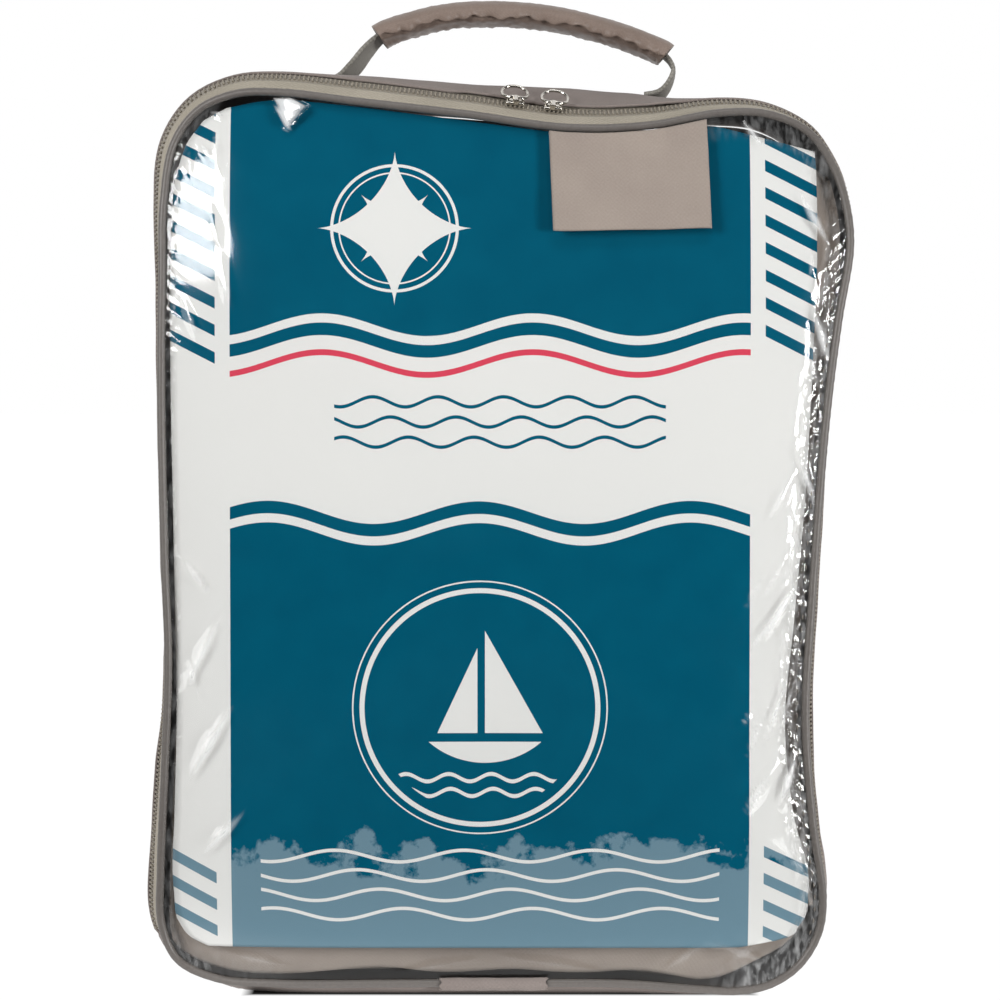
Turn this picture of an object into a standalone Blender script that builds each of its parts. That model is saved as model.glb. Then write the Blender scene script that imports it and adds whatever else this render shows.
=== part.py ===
"""A folded boat cover in its zipped carry bag, standing on its bottom gusset.

The bag is cut from polyester cloth. Its front is a clear film window with a printed card behind it, sewn into a
corded piping. A coil zip runs up the left side, over the top and down the right side, just behind the piping,
so the whole front opens on the seam along its foot. The cover fills the bag as one sheet folded back and forth.

Sizes are in millimetres and become metres as each mesh is written. +X is to the right and +Z is up, seen from
the front, and +Y runs from the front to the back. The origin is under the middle of the bag, on the floor.
"""

import math
from collections import namedtuple

import bmesh
import bpy
import numpy as np
from mathutils import Matrix, Vector

MM = 0.001
GAP = 0.35            # between two pieces that touch on the real bag

# The bag's box
FRONT_Y = -41.8       # the piping's middle, at the foot of the front
BACK_Y = 50.2         # the back seam, at the foot of the back
BODY_HEIGHT = 372.0
BODY_MIDDLE_Z = 185.0
HALF_WIDTH = 137.0
LEAN = 7.0            # how far front and back lean towards each other at the top
CORNER_SETBACK = 12.0
WINDOW_CROWN = 14.0   # how far the cover pushes the film forward
WINDOW_FLATNESS = 2.8     # above 2 the crown is flat in its middle and steep at its edge
BACK_CROWN = 5.5
BACK_FLATNESS = 2.2
TOP_FROM = 0.9 * BODY_HEIGHT    # the seam's stations above this make its top

# Thicknesses
CLOTH = 1.5
FILM = 1.0
CARD = 1.0
TAPE = 1.0
PIPING_RADIUS = 1.5
COIL = 2.0

# Places that follow from them
WINDOW_INSET = PIPING_RADIUS + 0.85    # from the piping's middle to the film's edge
CARD_BEHIND_FILM = FILM + 1.7          # from the film's outer face to the card's
LOWEST_EDGE = CLOTH + GAP + 0.1        # the lowest that a panel's edge comes, over the bag's base

# The zip, as depths behind the piping, measured from its middle
TAPE_START = 2.3
COIL_START = 7.3
COIL_END = 12.5
TAPE_END = 16.6
GUSSET_START = 17.0   # beside the zip
SEAM_START = 2.3      # below it, where the gusset meets the piping
CREST = 0.42          # of the depth, where the gusset stands out furthest
TAPE_MIDDLE = 7.0     # a depth on the front tape, and its share of what the coil stands out
TAPE_SHARE = 0.62
SEAM_STEP = 0.3       # how far the tape stands out where it meets the piping
REAR = 0.75           # of the depth, where the gusset comes in again
COIL_PROUD = 0.6      # of the tape

STATION_SPACING = 13.5

# The front seam, anticlockwise from the middle of the foot: the piping's middle (x, z), then how far the bag
# stands out from there at the coil's back edge, at the gusset's crest and at the back seam.
Station = namedtuple("Station", "x z coil crest back")
FRONT_SEAM = (
    Station(0.0, 5.6, 9.0, 12.0, 10.0),
    Station(52.0, 5.2, 9.0, 12.0, 10.0),
    Station(80.0, 2.8, 8.0, 10.0, 8.0),
    Station(96.0, 1.8, 5.0, 6.0, 5.0),
    Station(109.5, 4.2, 3.4, 5.0, 3.5),
    Station(121.0, 11.8, 2.2, 4.2, 2.0),
    Station(128.6, 24.5, 2.0, 4.0, 1.0),
    Station(130.4, 38.5, 2.2, 4.0, 0.0),
    Station(126.0, 70.0, 3.0, 4.0, 0.0),
    Station(122.8, 112.0, 3.3, 4.5, 1.0),
    Station(125.0, 157.0, 3.2, 4.5, 1.0),
    Station(130.8, 234.0, 2.0, 3.5, 0.0),
    Station(135.5, 272.0, 1.6, 2.8, -1.0),
    Station(140.3, 302.0, 2.0, 2.8, -2.0),
    Station(139.0, 317.4, 2.6, 2.8, -2.0),
    Station(134.2, 332.8, 3.0, 3.0, -1.5),
    Station(123.8, 347.6, 3.6, 3.8, -1.0),
    Station(107.4, 354.8, 4.8, 5.2, 0.0),
    Station(88.0, 355.2, 6.2, 7.0, 1.5),
    Station(60.0, 350.2, 8.0, 14.4, 5.0),
    Station(28.0, 349.2, 8.5, 17.6, 7.0),
    Station(-15.0, 354.8, 8.5, 14.2, 5.0),
    Station(-58.0, 359.8, 8.8, 12.6, 3.0),
    Station(-88.0, 363.4, 8.4, 7.9, 1.0),
    Station(-105.8, 363.0, 8.0, 5.8, 0.0),
    Station(-120.8, 356.8, 7.4, 5.0, -1.0),
    Station(-130.8, 343.4, 6.6, 4.4, -2.0),
    Station(-134.8, 320.0, 5.0, 3.4, -2.0),
    Station(-135.3, 290.0, 3.4, 3.0, -1.5),
    Station(-135.7, 240.0, 2.5, 3.0, -1.0),
    Station(-134.6, 178.0, 2.5, 3.0, 0.0),
    Station(-133.2, 135.0, 2.5, 3.6, 0.5),
    Station(-135.0, 90.0, 4.2, 4.2, 0.5),
    Station(-137.0, 50.0, 5.4, 4.6, 0.5),
    Station(-137.0, 28.6, 5.0, 4.4, 0.5),
    Station(-130.6, 13.8, 3.4, 4.6, 1.5),
    Station(-115.0, 6.6, 4.0, 6.5, 5.0),
    Station(-90.0, 5.0, 8.0, 10.0, 8.0),
    Station(-45.0, 5.4, 9.0, 12.0, 10.0),
)
ZIP_RIGHT_FOOT_Z = 38.0
ZIP_LEFT_FOOT_Z = 25.0

# The card's left and right edge at each height. Above CARD_TOP_FROM the heights are stretched to its top edge,
# which follows the sagging seam.
CardRow = namedtuple("CardRow", "z left right")
CardTop = namedtuple("CardTop", "x z")
CARD_ROWS = (
    CardRow(19.8, -118.0, 97.0),
    CardRow(22.5, -124.0, 113.5),
    CardRow(28.0, -129.2, 121.0),
    CardRow(42.0, -131.8, 124.6),
    CardRow(75.0, -131.2, 118.0),
    CardRow(110.0, -130.2, 114.6),
    CardRow(150.0, -130.6, 118.0),
    CardRow(200.0, -131.4, 122.4),
    CardRow(250.0, -132.2, 125.2),
    CardRow(300.0, -132.0, 127.0),
    CardRow(328.0, -129.4, 127.0),
    CardRow(338.0, -125.2, 126.8),
    CardRow(345.0, -119.0, 126.4),
)
CARD_TOP_FROM = 300.0
CARD_TOP = (
    CardTop(-119.0, 352.6),
    CardTop(-110.0, 356.6),
    CardTop(-97.0, 358.8),
    CardTop(-86.0, 359.4),
    CardTop(-58.0, 356.4),
    CardTop(-15.0, 351.0),
    CardTop(28.0, 345.6),
    CardTop(60.0, 346.4),
    CardTop(84.0, 350.4),
    CardTop(90.0, 349.2),
    CardTop(126.4, 340.0),
)
CARD_COLUMNS = 12

# The cover's pack
LAYERS = 12
LAYER_THICKNESS = 3.2
PACK_MARGIN = 4.5     # inside the front seam
PACK_FOOT = 2.0       # and over its foot
PACK_FRONT = 5.9      # behind the film's outer face
PACK_BACK = 4.0       # in front of the back panel's outer face
LAYER_HEIGHTS = (0.0, 0.22, 0.5, 0.78, 1.0)
PACK_STATIONS = (-1.0, -0.94, -0.78, -0.42, 0.0, 0.42, 0.78, 0.94, 1.0)
FOLD_STEPS = 4
FOLD_HEIGHT = 3.9     # how far a fold's middle line stands past its layers
FOLD_RAGGED = 3.0     # how much further in some folds lie than others
FOLD_WAVE = 2.4       # radians from one fold to the next, which spreads them
PACK_END = 152.0      # the seam's stations further than this from the middle's height make its ends
PACK_SIDE = 60.0      # and those further than this from the middle make its sides

# The cloth flap, below the piping: its top left corner, its width and its drop
FLAP_LEFT = 19.5
FLAP_WIDTH = 63.0
FLAP_DROP = 43.5
FLAP_SLANT = 4.0       # how much shorter it is at its left
FLAP_LEAN = 1.6       # how far its foot sits to the right of its top
FLAP_RISE = 2.6       # how far its foot is higher in the middle
FLAP_CURL = 1.2       # how far its foot stands off the film
FLAP_CLOTH = 1.0

# The wrap over the piping's joint
WRAP_LEFT = -24.0
WRAP_RIGHT = 18.8
WRAP_RADIUS = 3.1
WRAP_CLOTH = 0.9
WRAP_TURNS = (-58, -30, 0, 30, 60, 85, 108)    # degrees round the piping, from its face down and under
FOOT_BELOW = 10.0                              # the seam's stations under this make its foot

# The handle: its strap's middle line, left foot to right foot, with the strap's tilt in degrees
HANDLE_Y = 22.0
STRAP_WIDTH = 20.0
STRAP = 1.8
HandleRow = namedtuple("HandleRow", "x z tilt")
HANDLE_ROWS = (
    HandleRow(-86.0, 370.4, -8.0),
    HandleRow(-73.0, 371.0, -8.3),
    HandleRow(-66.6, 372.4, -9.5),
    HandleRow(-60.9, 377.4, -11.0),
    HandleRow(-55.4, 384.4, -9.0),
    HandleRow(-50.0, 389.8, -5.0),
    HandleRow(-37.5, 394.8, 0.0),
    HandleRow(-20.9, 398.6, 0.0),
    HandleRow(-6.2, 399.5, 0.0),
    HandleRow(12.5, 398.7, 0.0),
    HandleRow(29.2, 396.1, 0.0),
    HandleRow(45.9, 391.6, 0.0),
    HandleRow(62.5, 385.7, 0.0),
    HandleRow(68.7, 382.5, 1.0),
    HandleRow(72.2, 377.4, 3.0),
    HandleRow(70.8, 371.2, 6.0),
    HandleRow(67.0, 366.4, 9.0),
    HandleRow(60.0, 364.2, 11.5),
    HandleRow(43.0, 365.2, 13.5),
)
SLEEVE_FROM = 5       # the row where the sleeve begins
SLEEVE_TO = 13        # and the one where it ends
SLEEVE_HALF_WIDTH = 12.4
SLEEVE_HALF_HEIGHT = 4.6
SLEEVE_CLOTH = 1.2
SLEEVE_SIDES = 12

# The zip's sliders and pulls
SLIDER_PLACES = {"left": 4.8, "right": 20.8}
SLIDER_SIZE = (8.0, 8.4, 1.8)
SLIDER_CORNER = 2.2
BAIL_SIZE = (3.0, 3.6, 1.6)
BAIL_FOOT = 2.0       # in from the slider's edges
PULL_SKEW = {"left": 8.0, "right": -4.0}    # degrees, how far each pull swings to one side
PULL_LENGTH = 15.5
PULL_WIDTH = 10.0
PULL_NECK = 3.2
PULL_RIM = 1.9
PULL_OVAL = 1.12      # the ring's length over its width
PULL_ROOT = 1.0       # how far the neck starts behind the bail's middle
PULL_REST = 1.3       # the far end's height over the gusset, past its own thickness
PULL_THICKNESS = 1.2
PULL_STEPS = 24
PULL_LIFT = 1.2       # the pull's underside above the coil's face, past the slider's and the bail's height

COLOURS = {
    "film": (0.80, 0.83, 0.84),
    "card": (0.80, 0.78, 0.76),
    "cover cloth": (0.37, 0.32, 0.30),
    "bag cloth": (0.29, 0.25, 0.24),
    "piping": (0.20, 0.19, 0.17),
    "zip tape": (0.42, 0.38, 0.31),
    "zip coil": (0.30, 0.28, 0.25),
    "nickel": (0.62, 0.60, 0.57),
    "webbing": (0.27, 0.26, 0.23),
    "sleeve cloth": (0.24, 0.19, 0.17),
}


def clear_scene():
    """Start from an empty file."""
    for item in list(bpy.data.objects):
        bpy.data.objects.remove(item, do_unlink=True)


def material(name, roughness=0.8, metallic=0.0, alpha=1.0):
    """One Principled material for a kind of cloth, film or metal."""
    made = bpy.data.materials.get(name)
    if made:
        return made
    made = bpy.data.materials.new(name)
    made.use_nodes = True
    shader = made.node_tree.nodes["Principled BSDF"]
    shader.inputs["Base Color"].default_value = (*COLOURS[name], 1.0)
    shader.inputs["Roughness"].default_value = roughness
    shader.inputs["Metallic"].default_value = metallic
    shader.inputs["Alpha"].default_value = alpha
    return made


# ---------------------------------------------------------------- curves

def smooth_curve(knots, values, places):
    """Values at the places on a smooth curve that passes through the values at the knots."""
    knots = np.asarray(knots, float)
    values = np.asarray(values, float)
    places = np.asarray(places, float)
    flat = values.ndim == 1
    if flat:
        values = values[:, None]
    steps = np.diff(knots)[:, None]
    slopes = np.diff(values, axis=0) / steps
    inner = (slopes[:-1] * steps[1:] + slopes[1:] * steps[:-1]) / (steps[:-1] + steps[1:])
    tangents = np.vstack([slopes[:1], inner, slopes[-1:]])
    span = np.clip(np.searchsorted(knots, places, side="right") - 1, 0, len(knots) - 2)
    step = steps[span]
    t = ((places - knots[span])[:, None]) / step
    out = (
        values[span] * (2 * t**3 - 3 * t**2 + 1)
        + tangents[span] * step * (t**3 - 2 * t**2 + t)
        + values[span + 1] * (3 * t**2 - 2 * t**3)
        + tangents[span + 1] * step * (t**3 - t**2)
    )
    return out[:, 0] if flat else out


def seam_stations(spacing):
    """Stations at even steps between the seam's rows: x, z, coil, crest and back for each."""
    rows = np.array(FRONT_SEAM)
    padded = np.vstack([rows[-2:], rows, rows[:3]])
    lengths = np.hypot(*np.diff(padded[:, :2], axis=0).T)
    knots = np.concatenate([[0.0], np.cumsum(np.sqrt(lengths))])
    places = []
    for row in range(2, 2 + len(rows)):
        count = max(2, round(lengths[row] / spacing))
        places.extend(np.linspace(knots[row], knots[row + 1], count, endpoint=False))
    return smooth_curve(knots, padded, places)


def outward_normals(stations):
    """The outward direction, in the front's plane, at each station of a closed seam."""
    ahead = np.roll(stations[:, :2], -1, axis=0) - np.roll(stations[:, :2], 1, axis=0)
    ahead /= np.linalg.norm(ahead, axis=1)[:, None]
    return np.column_stack([ahead[:, 1], -ahead[:, 0]])


SEAM = seam_stations(STATION_SPACING)
OUTWARD = outward_normals(SEAM)


# ---------------------------------------------------------------- the bag's faces

def front_plane(x, z):
    """Y of the front seam: the front leans back towards the top, and its corners sit back."""
    corner = (x / HALF_WIDTH) ** 4 * ((z - BODY_MIDDLE_Z) / BODY_MIDDLE_Z) ** 4
    return FRONT_Y + LEAN * (max(z, 0.0) / BODY_HEIGHT) ** 1.5 + CORNER_SETBACK * min(corner, 1.0)


def back_plane(z):
    """Y of the back seam at a height."""
    return BACK_Y - LEAN * (max(z, 0.0) / BODY_HEIGHT) ** 1.5


def reach(x, z, inset):
    """How far out a point of the front lies: 0 in the middle, 1 on the seam drawn in by the inset."""
    edge = SEAM[:, :2] - OUTWARD * inset
    spokes = edge - (0.0, BODY_MIDDLE_Z)
    angles = np.arctan2(spokes[:, 1], spokes[:, 0])
    order = np.argsort(angles)
    radii = np.hypot(spokes[:, 0], spokes[:, 1])
    radius = np.interp(
        math.atan2(z - BODY_MIDDLE_Z, x), angles[order], radii[order], period=2 * math.pi
    )
    return min(math.hypot(x, z - BODY_MIDDLE_Z) / radius, 1.0)


def film_y(x, z):
    """Y of the film's outer face."""
    return front_plane(x, z) - WINDOW_CROWN * (1.0 - reach(x, z, WINDOW_INSET) ** WINDOW_FLATNESS)


def back_y(x, z):
    """Y of the back panel's outer face."""
    return back_plane(z) + BACK_CROWN * (1.0 - reach(x, z, WINDOW_INSET) ** BACK_FLATNESS)


def depth_at(station):
    """The bag's depth, piping to back seam, at a station."""
    x, z = SEAM[station, :2]
    return back_plane(z) - front_plane(x, z)


def standout(station, depth):
    """How far the bag's side stands out from the front seam at a depth behind it."""
    coil, crest, back = SEAM[station, 2:]
    full = depth_at(station)
    knots = [0.0, TAPE_MIDDLE, COIL_END, full * CREST, full * REAR, full]
    rear = 0.5 * (crest + back) + 0.12 * abs(crest)
    values = [SEAM_STEP, TAPE_SHARE * coil, coil, crest, rear, back]
    return float(smooth_curve(knots, values, [depth])[0])


def side_point(station, depth, lift=0.0):
    """A point of the bag's side, at a station and a depth, lifted off it by a little."""
    x, z = SEAM[station, :2]
    out = standout(station, depth) + lift
    return (
        x + OUTWARD[station, 0] * out,
        front_plane(x, z) + depth,
        max(z + OUTWARD[station, 1] * out, 0.0),
    )


# ---------------------------------------------------------------- mesh helpers

def add_object(name, mesh_builder, made_of):
    """Write a bmesh, modelled in millimetres, as a named object in metres."""
    mesh = bpy.data.meshes.new(name)
    bmesh.ops.scale(mesh_builder, vec=(MM, MM, MM), verts=mesh_builder.verts)
    mesh_builder.to_mesh(mesh)
    mesh_builder.free()
    mesh.materials.append(made_of)
    mesh.shade_smooth()
    mesh.set_sharp_from_angle(angle=math.radians(40))
    made = bpy.data.objects.new(name, mesh)
    bpy.context.collection.objects.link(made)
    return made


def laid_grid(columns, rows, place):
    """A grid whose point (column, row) is moved to place(column, row); points that meet are joined."""
    grid = bmesh.new()
    bmesh.ops.create_grid(grid, x_segments=columns - 1, y_segments=rows - 1, size=1.0)
    for vertex in grid.verts:
        column = round((vertex.co.x + 1.0) / 2.0 * (columns - 1))
        row = round((vertex.co.y + 1.0) / 2.0 * (rows - 1))
        vertex.co = place(column, row)
    bmesh.ops.remove_doubles(grid, verts=grid.verts, dist=0.001)
    return grid


def thicken(made, thickness):
    """Give a sheet its thickness, behind its outer face."""
    solid = made.modifiers.new("thickness", "SOLIDIFY")
    solid.thickness = thickness * MM
    solid.offset = -1.0
    solid.use_even_offset = False
    return made


def sheet(name, columns, rows, place, thickness, made_of):
    """A sheet of cloth or film laid on a grid of points, with its real thickness."""
    return thicken(add_object(name, laid_grid(columns, rows, place), made_of), thickness)


# ---------------------------------------------------------------- window, card, flap

def dished_panel(name, rings, standouts, height, thickness, made_of):
    """A panel inside the seam, ring by ring; from its middle out it faces the front, and inward the back."""
    stations = range(0, len(SEAM), 2)

    def place(ring, row):
        station = stations[row % len(stations)]
        edge = SEAM[station, :2] + OUTWARD[station] * standouts[station]
        edge[1] = max(edge[1], LOWEST_EDGE)
        x = edge[0] * rings[ring]
        z = BODY_MIDDLE_Z + (edge[1] - BODY_MIDDLE_Z) * rings[ring]
        return (x, height(x, z, rings[ring]), z)

    return sheet(name, len(rings), len(stations) + 1, place, thickness, made_of)


def build_window():
    """The clear film, drawn forward by what is behind it."""
    rings = (0.0, 0.32, 0.54, 0.70, 0.82, 0.91, 0.96, 1.0)
    standouts = np.full(len(SEAM), -WINDOW_INSET)

    def height(x, z, ring):
        return front_plane(x, z) - WINDOW_CROWN * (1.0 - ring**WINDOW_FLATNESS)

    film = material("film", roughness=0.1, alpha=0.35)
    return dished_panel("window", rings, standouts, height, FILM, film)


def build_back_panel():
    """The bag's back, sewn to the gusset all round."""
    rings = (1.0, 0.88, 0.7, 0.4, 0.0)
    standouts = SEAM[:, 4] - CLOTH - 2 * GAP

    def height(x, z, ring):
        return back_plane(z) + BACK_CROWN * (1.0 - ring**BACK_FLATNESS)

    cloth = material("bag cloth")
    return dished_panel("back_panel", rings, standouts, height, CLOTH, cloth)


def card_height(x, level):
    """Height of the card at x, for a height in its table."""
    top = np.interp(x, *np.array(CARD_TOP).T)
    past = max(level - CARD_TOP_FROM, 0.0) / (CARD_ROWS[-1].z - CARD_TOP_FROM)
    return min(level, CARD_TOP_FROM) + past * (top - CARD_TOP_FROM)


def build_card():
    """The printed card, bent to the window's crown."""
    def place(column, row):
        level, left, right = CARD_ROWS[row]
        x = left + (right - left) * column / CARD_COLUMNS
        z = card_height(x, level)
        return (x, film_y(x, z) + CARD_BEHIND_FILM, z)

    return sheet("card", CARD_COLUMNS + 1, len(CARD_ROWS), place, CARD, material("card", 0.5))


def top_station(x):
    """The station of the top seam that is nearest to x."""
    top = [k for k in range(len(SEAM)) if SEAM[k, 1] > TOP_FROM]
    return min(top, key=lambda k: abs(SEAM[k, 0] - x))


def seam_height(x):
    """Height of the top seam's piping at x."""
    top = SEAM[SEAM[:, 1] > TOP_FROM]
    order = np.argsort(top[:, 0])
    return float(np.interp(x, top[order, 0], top[order, 1]))


def build_flap():
    """The flap of the cover's cloth: it hangs from the top seam, in front of the film."""
    columns, rows = 7, 6

    def place(column, row):
        down = 1.0 - row / (rows - 1)
        x = FLAP_LEFT + FLAP_WIDTH * column / (columns - 1) + FLAP_LEAN * down
        top = seam_height(x) - WINDOW_INSET
        share = column / (columns - 1)
        drop = FLAP_DROP - FLAP_SLANT * (1 - share) - FLAP_RISE * math.sin(math.pi * share)
        z = top - drop * down
        return (x, film_y(x, z) - FLAP_CLOTH - 3 * GAP - FLAP_CURL * down**2, z)

    return sheet("cloth_flap", columns, rows, place, FLAP_CLOTH, material("cover cloth"))


# ---------------------------------------------------------------- seam, zip, gusset

def build_piping():
    """The corded piping, one closed ring round the front."""
    curve = bpy.data.curves.new("piping", "CURVE")
    curve.dimensions = "3D"
    curve.bevel_depth = PIPING_RADIUS * MM
    curve.bevel_resolution = 1
    curve.materials.append(material("piping", 0.55))
    line = curve.splines.new("POLY")
    line.points.add(len(SEAM) - 1)
    for point, (x, z) in zip(line.points, SEAM[:, :2]):
        point.co = (x * MM, front_plane(x, z) * MM, z * MM, 1.0)
    line.use_cyclic_u = True
    made = bpy.data.objects.new("piping", curve)
    bpy.context.collection.objects.link(made)
    return made


def build_wrap():
    """The cloth wrapped over the piping's joint, at the middle of the foot."""
    spots = np.linspace(WRAP_LEFT, WRAP_RIGHT, 5)
    foot = SEAM[SEAM[:, 1] < FOOT_BELOW]
    order = np.argsort(foot[:, 0])

    def place(column, row):
        x = spots[row]
        z = float(np.interp(x, foot[order, 0], foot[order, 1]))
        turn = math.radians(WRAP_TURNS[column])
        return (
            x,
            front_plane(x, z) - WRAP_RADIUS * math.cos(turn),
            z - WRAP_RADIUS * math.sin(turn),
        )

    cloth = material("bag cloth")
    return sheet("piping_joint_cover", len(WRAP_TURNS), len(spots), place, WRAP_CLOTH, cloth)


def zip_stations():
    """The stations that the zip runs along, from its right foot over the top to its left foot."""
    def zipped(station):
        x, z = SEAM[station, :2]
        return z > (ZIP_RIGHT_FOOT_Z if x > 0 else ZIP_LEFT_FOOT_Z)

    return [k for k in range(len(SEAM)) if zipped(k)]


def zip_strip(name, depths, thickness, lift, made_of):
    """A strip of the zip, along all its stations, between its first and its last depth."""
    stations = zip_stations()

    def place(column, row):
        return side_point(stations[row], depths[column], lift)

    return sheet(name, len(depths), len(stations), place, thickness, made_of)


def build_zip():
    """The zip's two tapes, and the closed coil between them."""
    tape = material("zip tape")
    zip_strip("zip_tape_front", (TAPE_START, COIL_START - GAP), TAPE, 0.0, tape)
    coil = material("zip coil", 0.5)
    middle = 0.5 * (COIL_START + COIL_END)
    zip_strip("zip_chain", (COIL_START, middle, COIL_END), COIL, COIL_PROUD, coil)
    zip_strip("zip_tape_back", (COIL_END + 2 * GAP, TAPE_END), TAPE, 0.0, tape)


def build_gusset():
    """The strip of cloth that makes the bag's sides, top and base; the base lies flat on the floor."""
    zipped = set(zip_stations())
    shares = (0.0, 0.16, 0.38, 0.60, 0.82, 1.0)

    def place(column, row):
        station = row % len(SEAM)
        start = GUSSET_START if station in zipped else SEAM_START
        depth = start + (depth_at(station) - start) * shares[column]
        return side_point(station, depth)

    return sheet("gusset", len(shares), len(SEAM) + 1, place, CLOTH, material("bag cloth"))


# ---------------------------------------------------------------- the folded cover

def fold_insets():
    """How far each fold of the pack stops short of the pack's end."""
    return [FOLD_RAGGED * (0.5 + 0.5 * math.sin(FOLD_WAVE * fold)) for fold in range(LAYERS + 1)]


def serpentine():
    """The pack's section: (share of the depth, share of the height, rise past it) for each point.

    The line climbs one layer, turns over a fold and comes down the next, from the front to the back.
    """
    insets = fold_insets()
    points = []
    for layer in range(LAYERS):
        upward = layer % 2 == 0
        before, after = insets[layer], insets[layer + 1]
        low, high = (before, after) if upward else (after, before)
        for height in LAYER_HEIGHTS if upward else reversed(LAYER_HEIGHTS):
            points.append(((layer + 0.5) / LAYERS, height, low * (1 - height) - high * height))
        if layer == LAYERS - 1:
            break
        sign = 1 if upward else -1
        for step in range(1, FOLD_STEPS):
            turn = math.pi * step / FOLD_STEPS
            share = (layer + 1.0 - 0.5 * math.cos(turn)) / LAYERS
            rise = sign * (FOLD_HEIGHT * math.sin(turn) - after)
            points.append((share, 1.0 if upward else 0.0, rise))
    return points


def side_of_pack(z, sign):
    """X of the pack's left (-1) or right (+1) side at a height."""
    part = SEAM[SEAM[:, 0] * sign > PACK_SIDE]
    order = np.argsort(part[:, 1])
    edge = float(np.interp(z, part[order, 1], part[order, 0]))
    return edge - sign * PACK_MARGIN


def end_of_pack(x, sign):
    """Z of the pack's foot (-1) or head (+1) at x."""
    part = SEAM[(SEAM[:, 1] - BODY_MIDDLE_Z) * sign > PACK_END]
    order = np.argsort(part[:, 0])
    edge = float(np.interp(x, part[order, 0], part[order, 1]))
    margin = PACK_MARGIN if sign > 0 else PACK_FOOT
    return edge - sign * (margin + FOLD_HEIGHT + LAYER_THICKNESS / 2)


def build_cover():
    """The boat cover, folded back and forth from the front to the back of the bag."""
    section = serpentine()

    def place(column, row):
        share, height, rise = section[column]
        across = 0.5 + 0.5 * PACK_STATIONS[row]
        level = (HALF_WIDTH - PACK_MARGIN) * PACK_STATIONS[row]
        low, high = end_of_pack(level, -1), end_of_pack(level, 1)
        z = low + (high - low) * height + rise
        x = side_of_pack(z, -1) + (side_of_pack(z, 1) - side_of_pack(z, -1)) * across
        front = film_y(x, z) + PACK_FRONT
        back = back_y(x, z) - PACK_BACK
        return (x, front + (back - front) * share, z)

    made = sheet(
        "folded_cover", len(section), len(PACK_STATIONS), place, LAYER_THICKNESS, material("cover cloth")
    )
    made.modifiers["thickness"].offset = 0.0
    return made


# ---------------------------------------------------------------- the handle

def handle_line(places):
    """Middle line of the strap at each place, which counts the rows from 0: x, z, tilt and direction."""
    rows = np.array(HANDLE_ROWS)
    lengths = np.hypot(*np.diff(rows[:, :2], axis=0).T)
    knots = np.concatenate([[0.0], np.cumsum(lengths)])
    at = np.interp(places, range(len(rows)), knots)
    nudge = 0.05
    line = smooth_curve(knots, rows, at)
    ahead = smooth_curve(knots, rows, np.minimum(at + nudge, knots[-1]))
    behind = smooth_curve(knots, rows, np.maximum(at - nudge, 0.0))
    direction = ahead[:, :2] - behind[:, :2]
    direction /= np.linalg.norm(direction, axis=1)[:, None]
    return line, direction


def strap_point(line, direction, across, up):
    """A point beside the strap's middle line: so far across its width and so far off its face."""
    x, z, tilt = line
    face = (-direction[1], direction[0])
    turn = math.radians(tilt)
    sideways = across * math.cos(turn) - up * math.sin(turn)
    off = across * math.sin(turn) + up * math.cos(turn)
    return (x + face[0] * off, HANDLE_Y + sideways, z + face[1] * off)


def build_webbing():
    """The woven strap, from one sewn foot through the sleeve to the other."""
    places = np.linspace(0, len(HANDLE_ROWS) - 1, 2 * len(HANDLE_ROWS) - 1)
    line, direction = handle_line(places)

    def place(column, row):
        across = STRAP_WIDTH * (column - 0.5)
        return strap_point(line[row], direction[row], -across, STRAP / 2)

    return sheet("handle_webbing", 2, len(places), place, STRAP, material("webbing"))


def build_sleeve():
    """The cloth sleeve round the strap's middle, open at both ends."""
    places = np.linspace(SLEEVE_FROM, SLEEVE_TO, 2 * (SLEEVE_TO - SLEEVE_FROM) - 1)
    line, direction = handle_line(places)

    def place(column, row):
        turn = 2 * math.pi * (column % SLEEVE_SIDES) / SLEEVE_SIDES
        across = SLEEVE_HALF_WIDTH * math.cos(turn)
        up = SLEEVE_HALF_HEIGHT * math.sin(turn)
        return strap_point(line[row], direction[row], -across, up)

    cloth = material("sleeve cloth", 0.5)
    return sheet("handle_sleeve", SLEEVE_SIDES + 1, len(places), place, SLEEVE_CLOTH, cloth)


# ---------------------------------------------------------------- sliders and pulls

def zip_frame(x, depth, lift):
    """A frame on the zip at the top: x along it, y across it towards the back, z off its face."""
    near = top_station(x)
    after = near + 1 if SEAM[near, 0] > x else near - 1
    share = (x - SEAM[near, 0]) / (SEAM[after, 0] - SEAM[near, 0])

    def at(d, up=0.0):
        first = Vector(side_point(near, d, up))
        return first.lerp(Vector(side_point(after, d, up)), share)

    along = Vector(side_point(near, depth)) - Vector(side_point(near + 1, depth))
    across = at(depth + 0.5) - at(depth - 0.5)
    along.normalize()
    off = along.cross(across).normalized()
    across = off.cross(along)
    frame = Matrix((along, across, off)).transposed().to_4x4()
    frame.translation = at(depth) + off * lift
    return frame


def in_metres(frame):
    """The same frame with its place in metres."""
    placed = frame.copy()
    placed.translation = frame.translation * MM
    return placed


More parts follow.
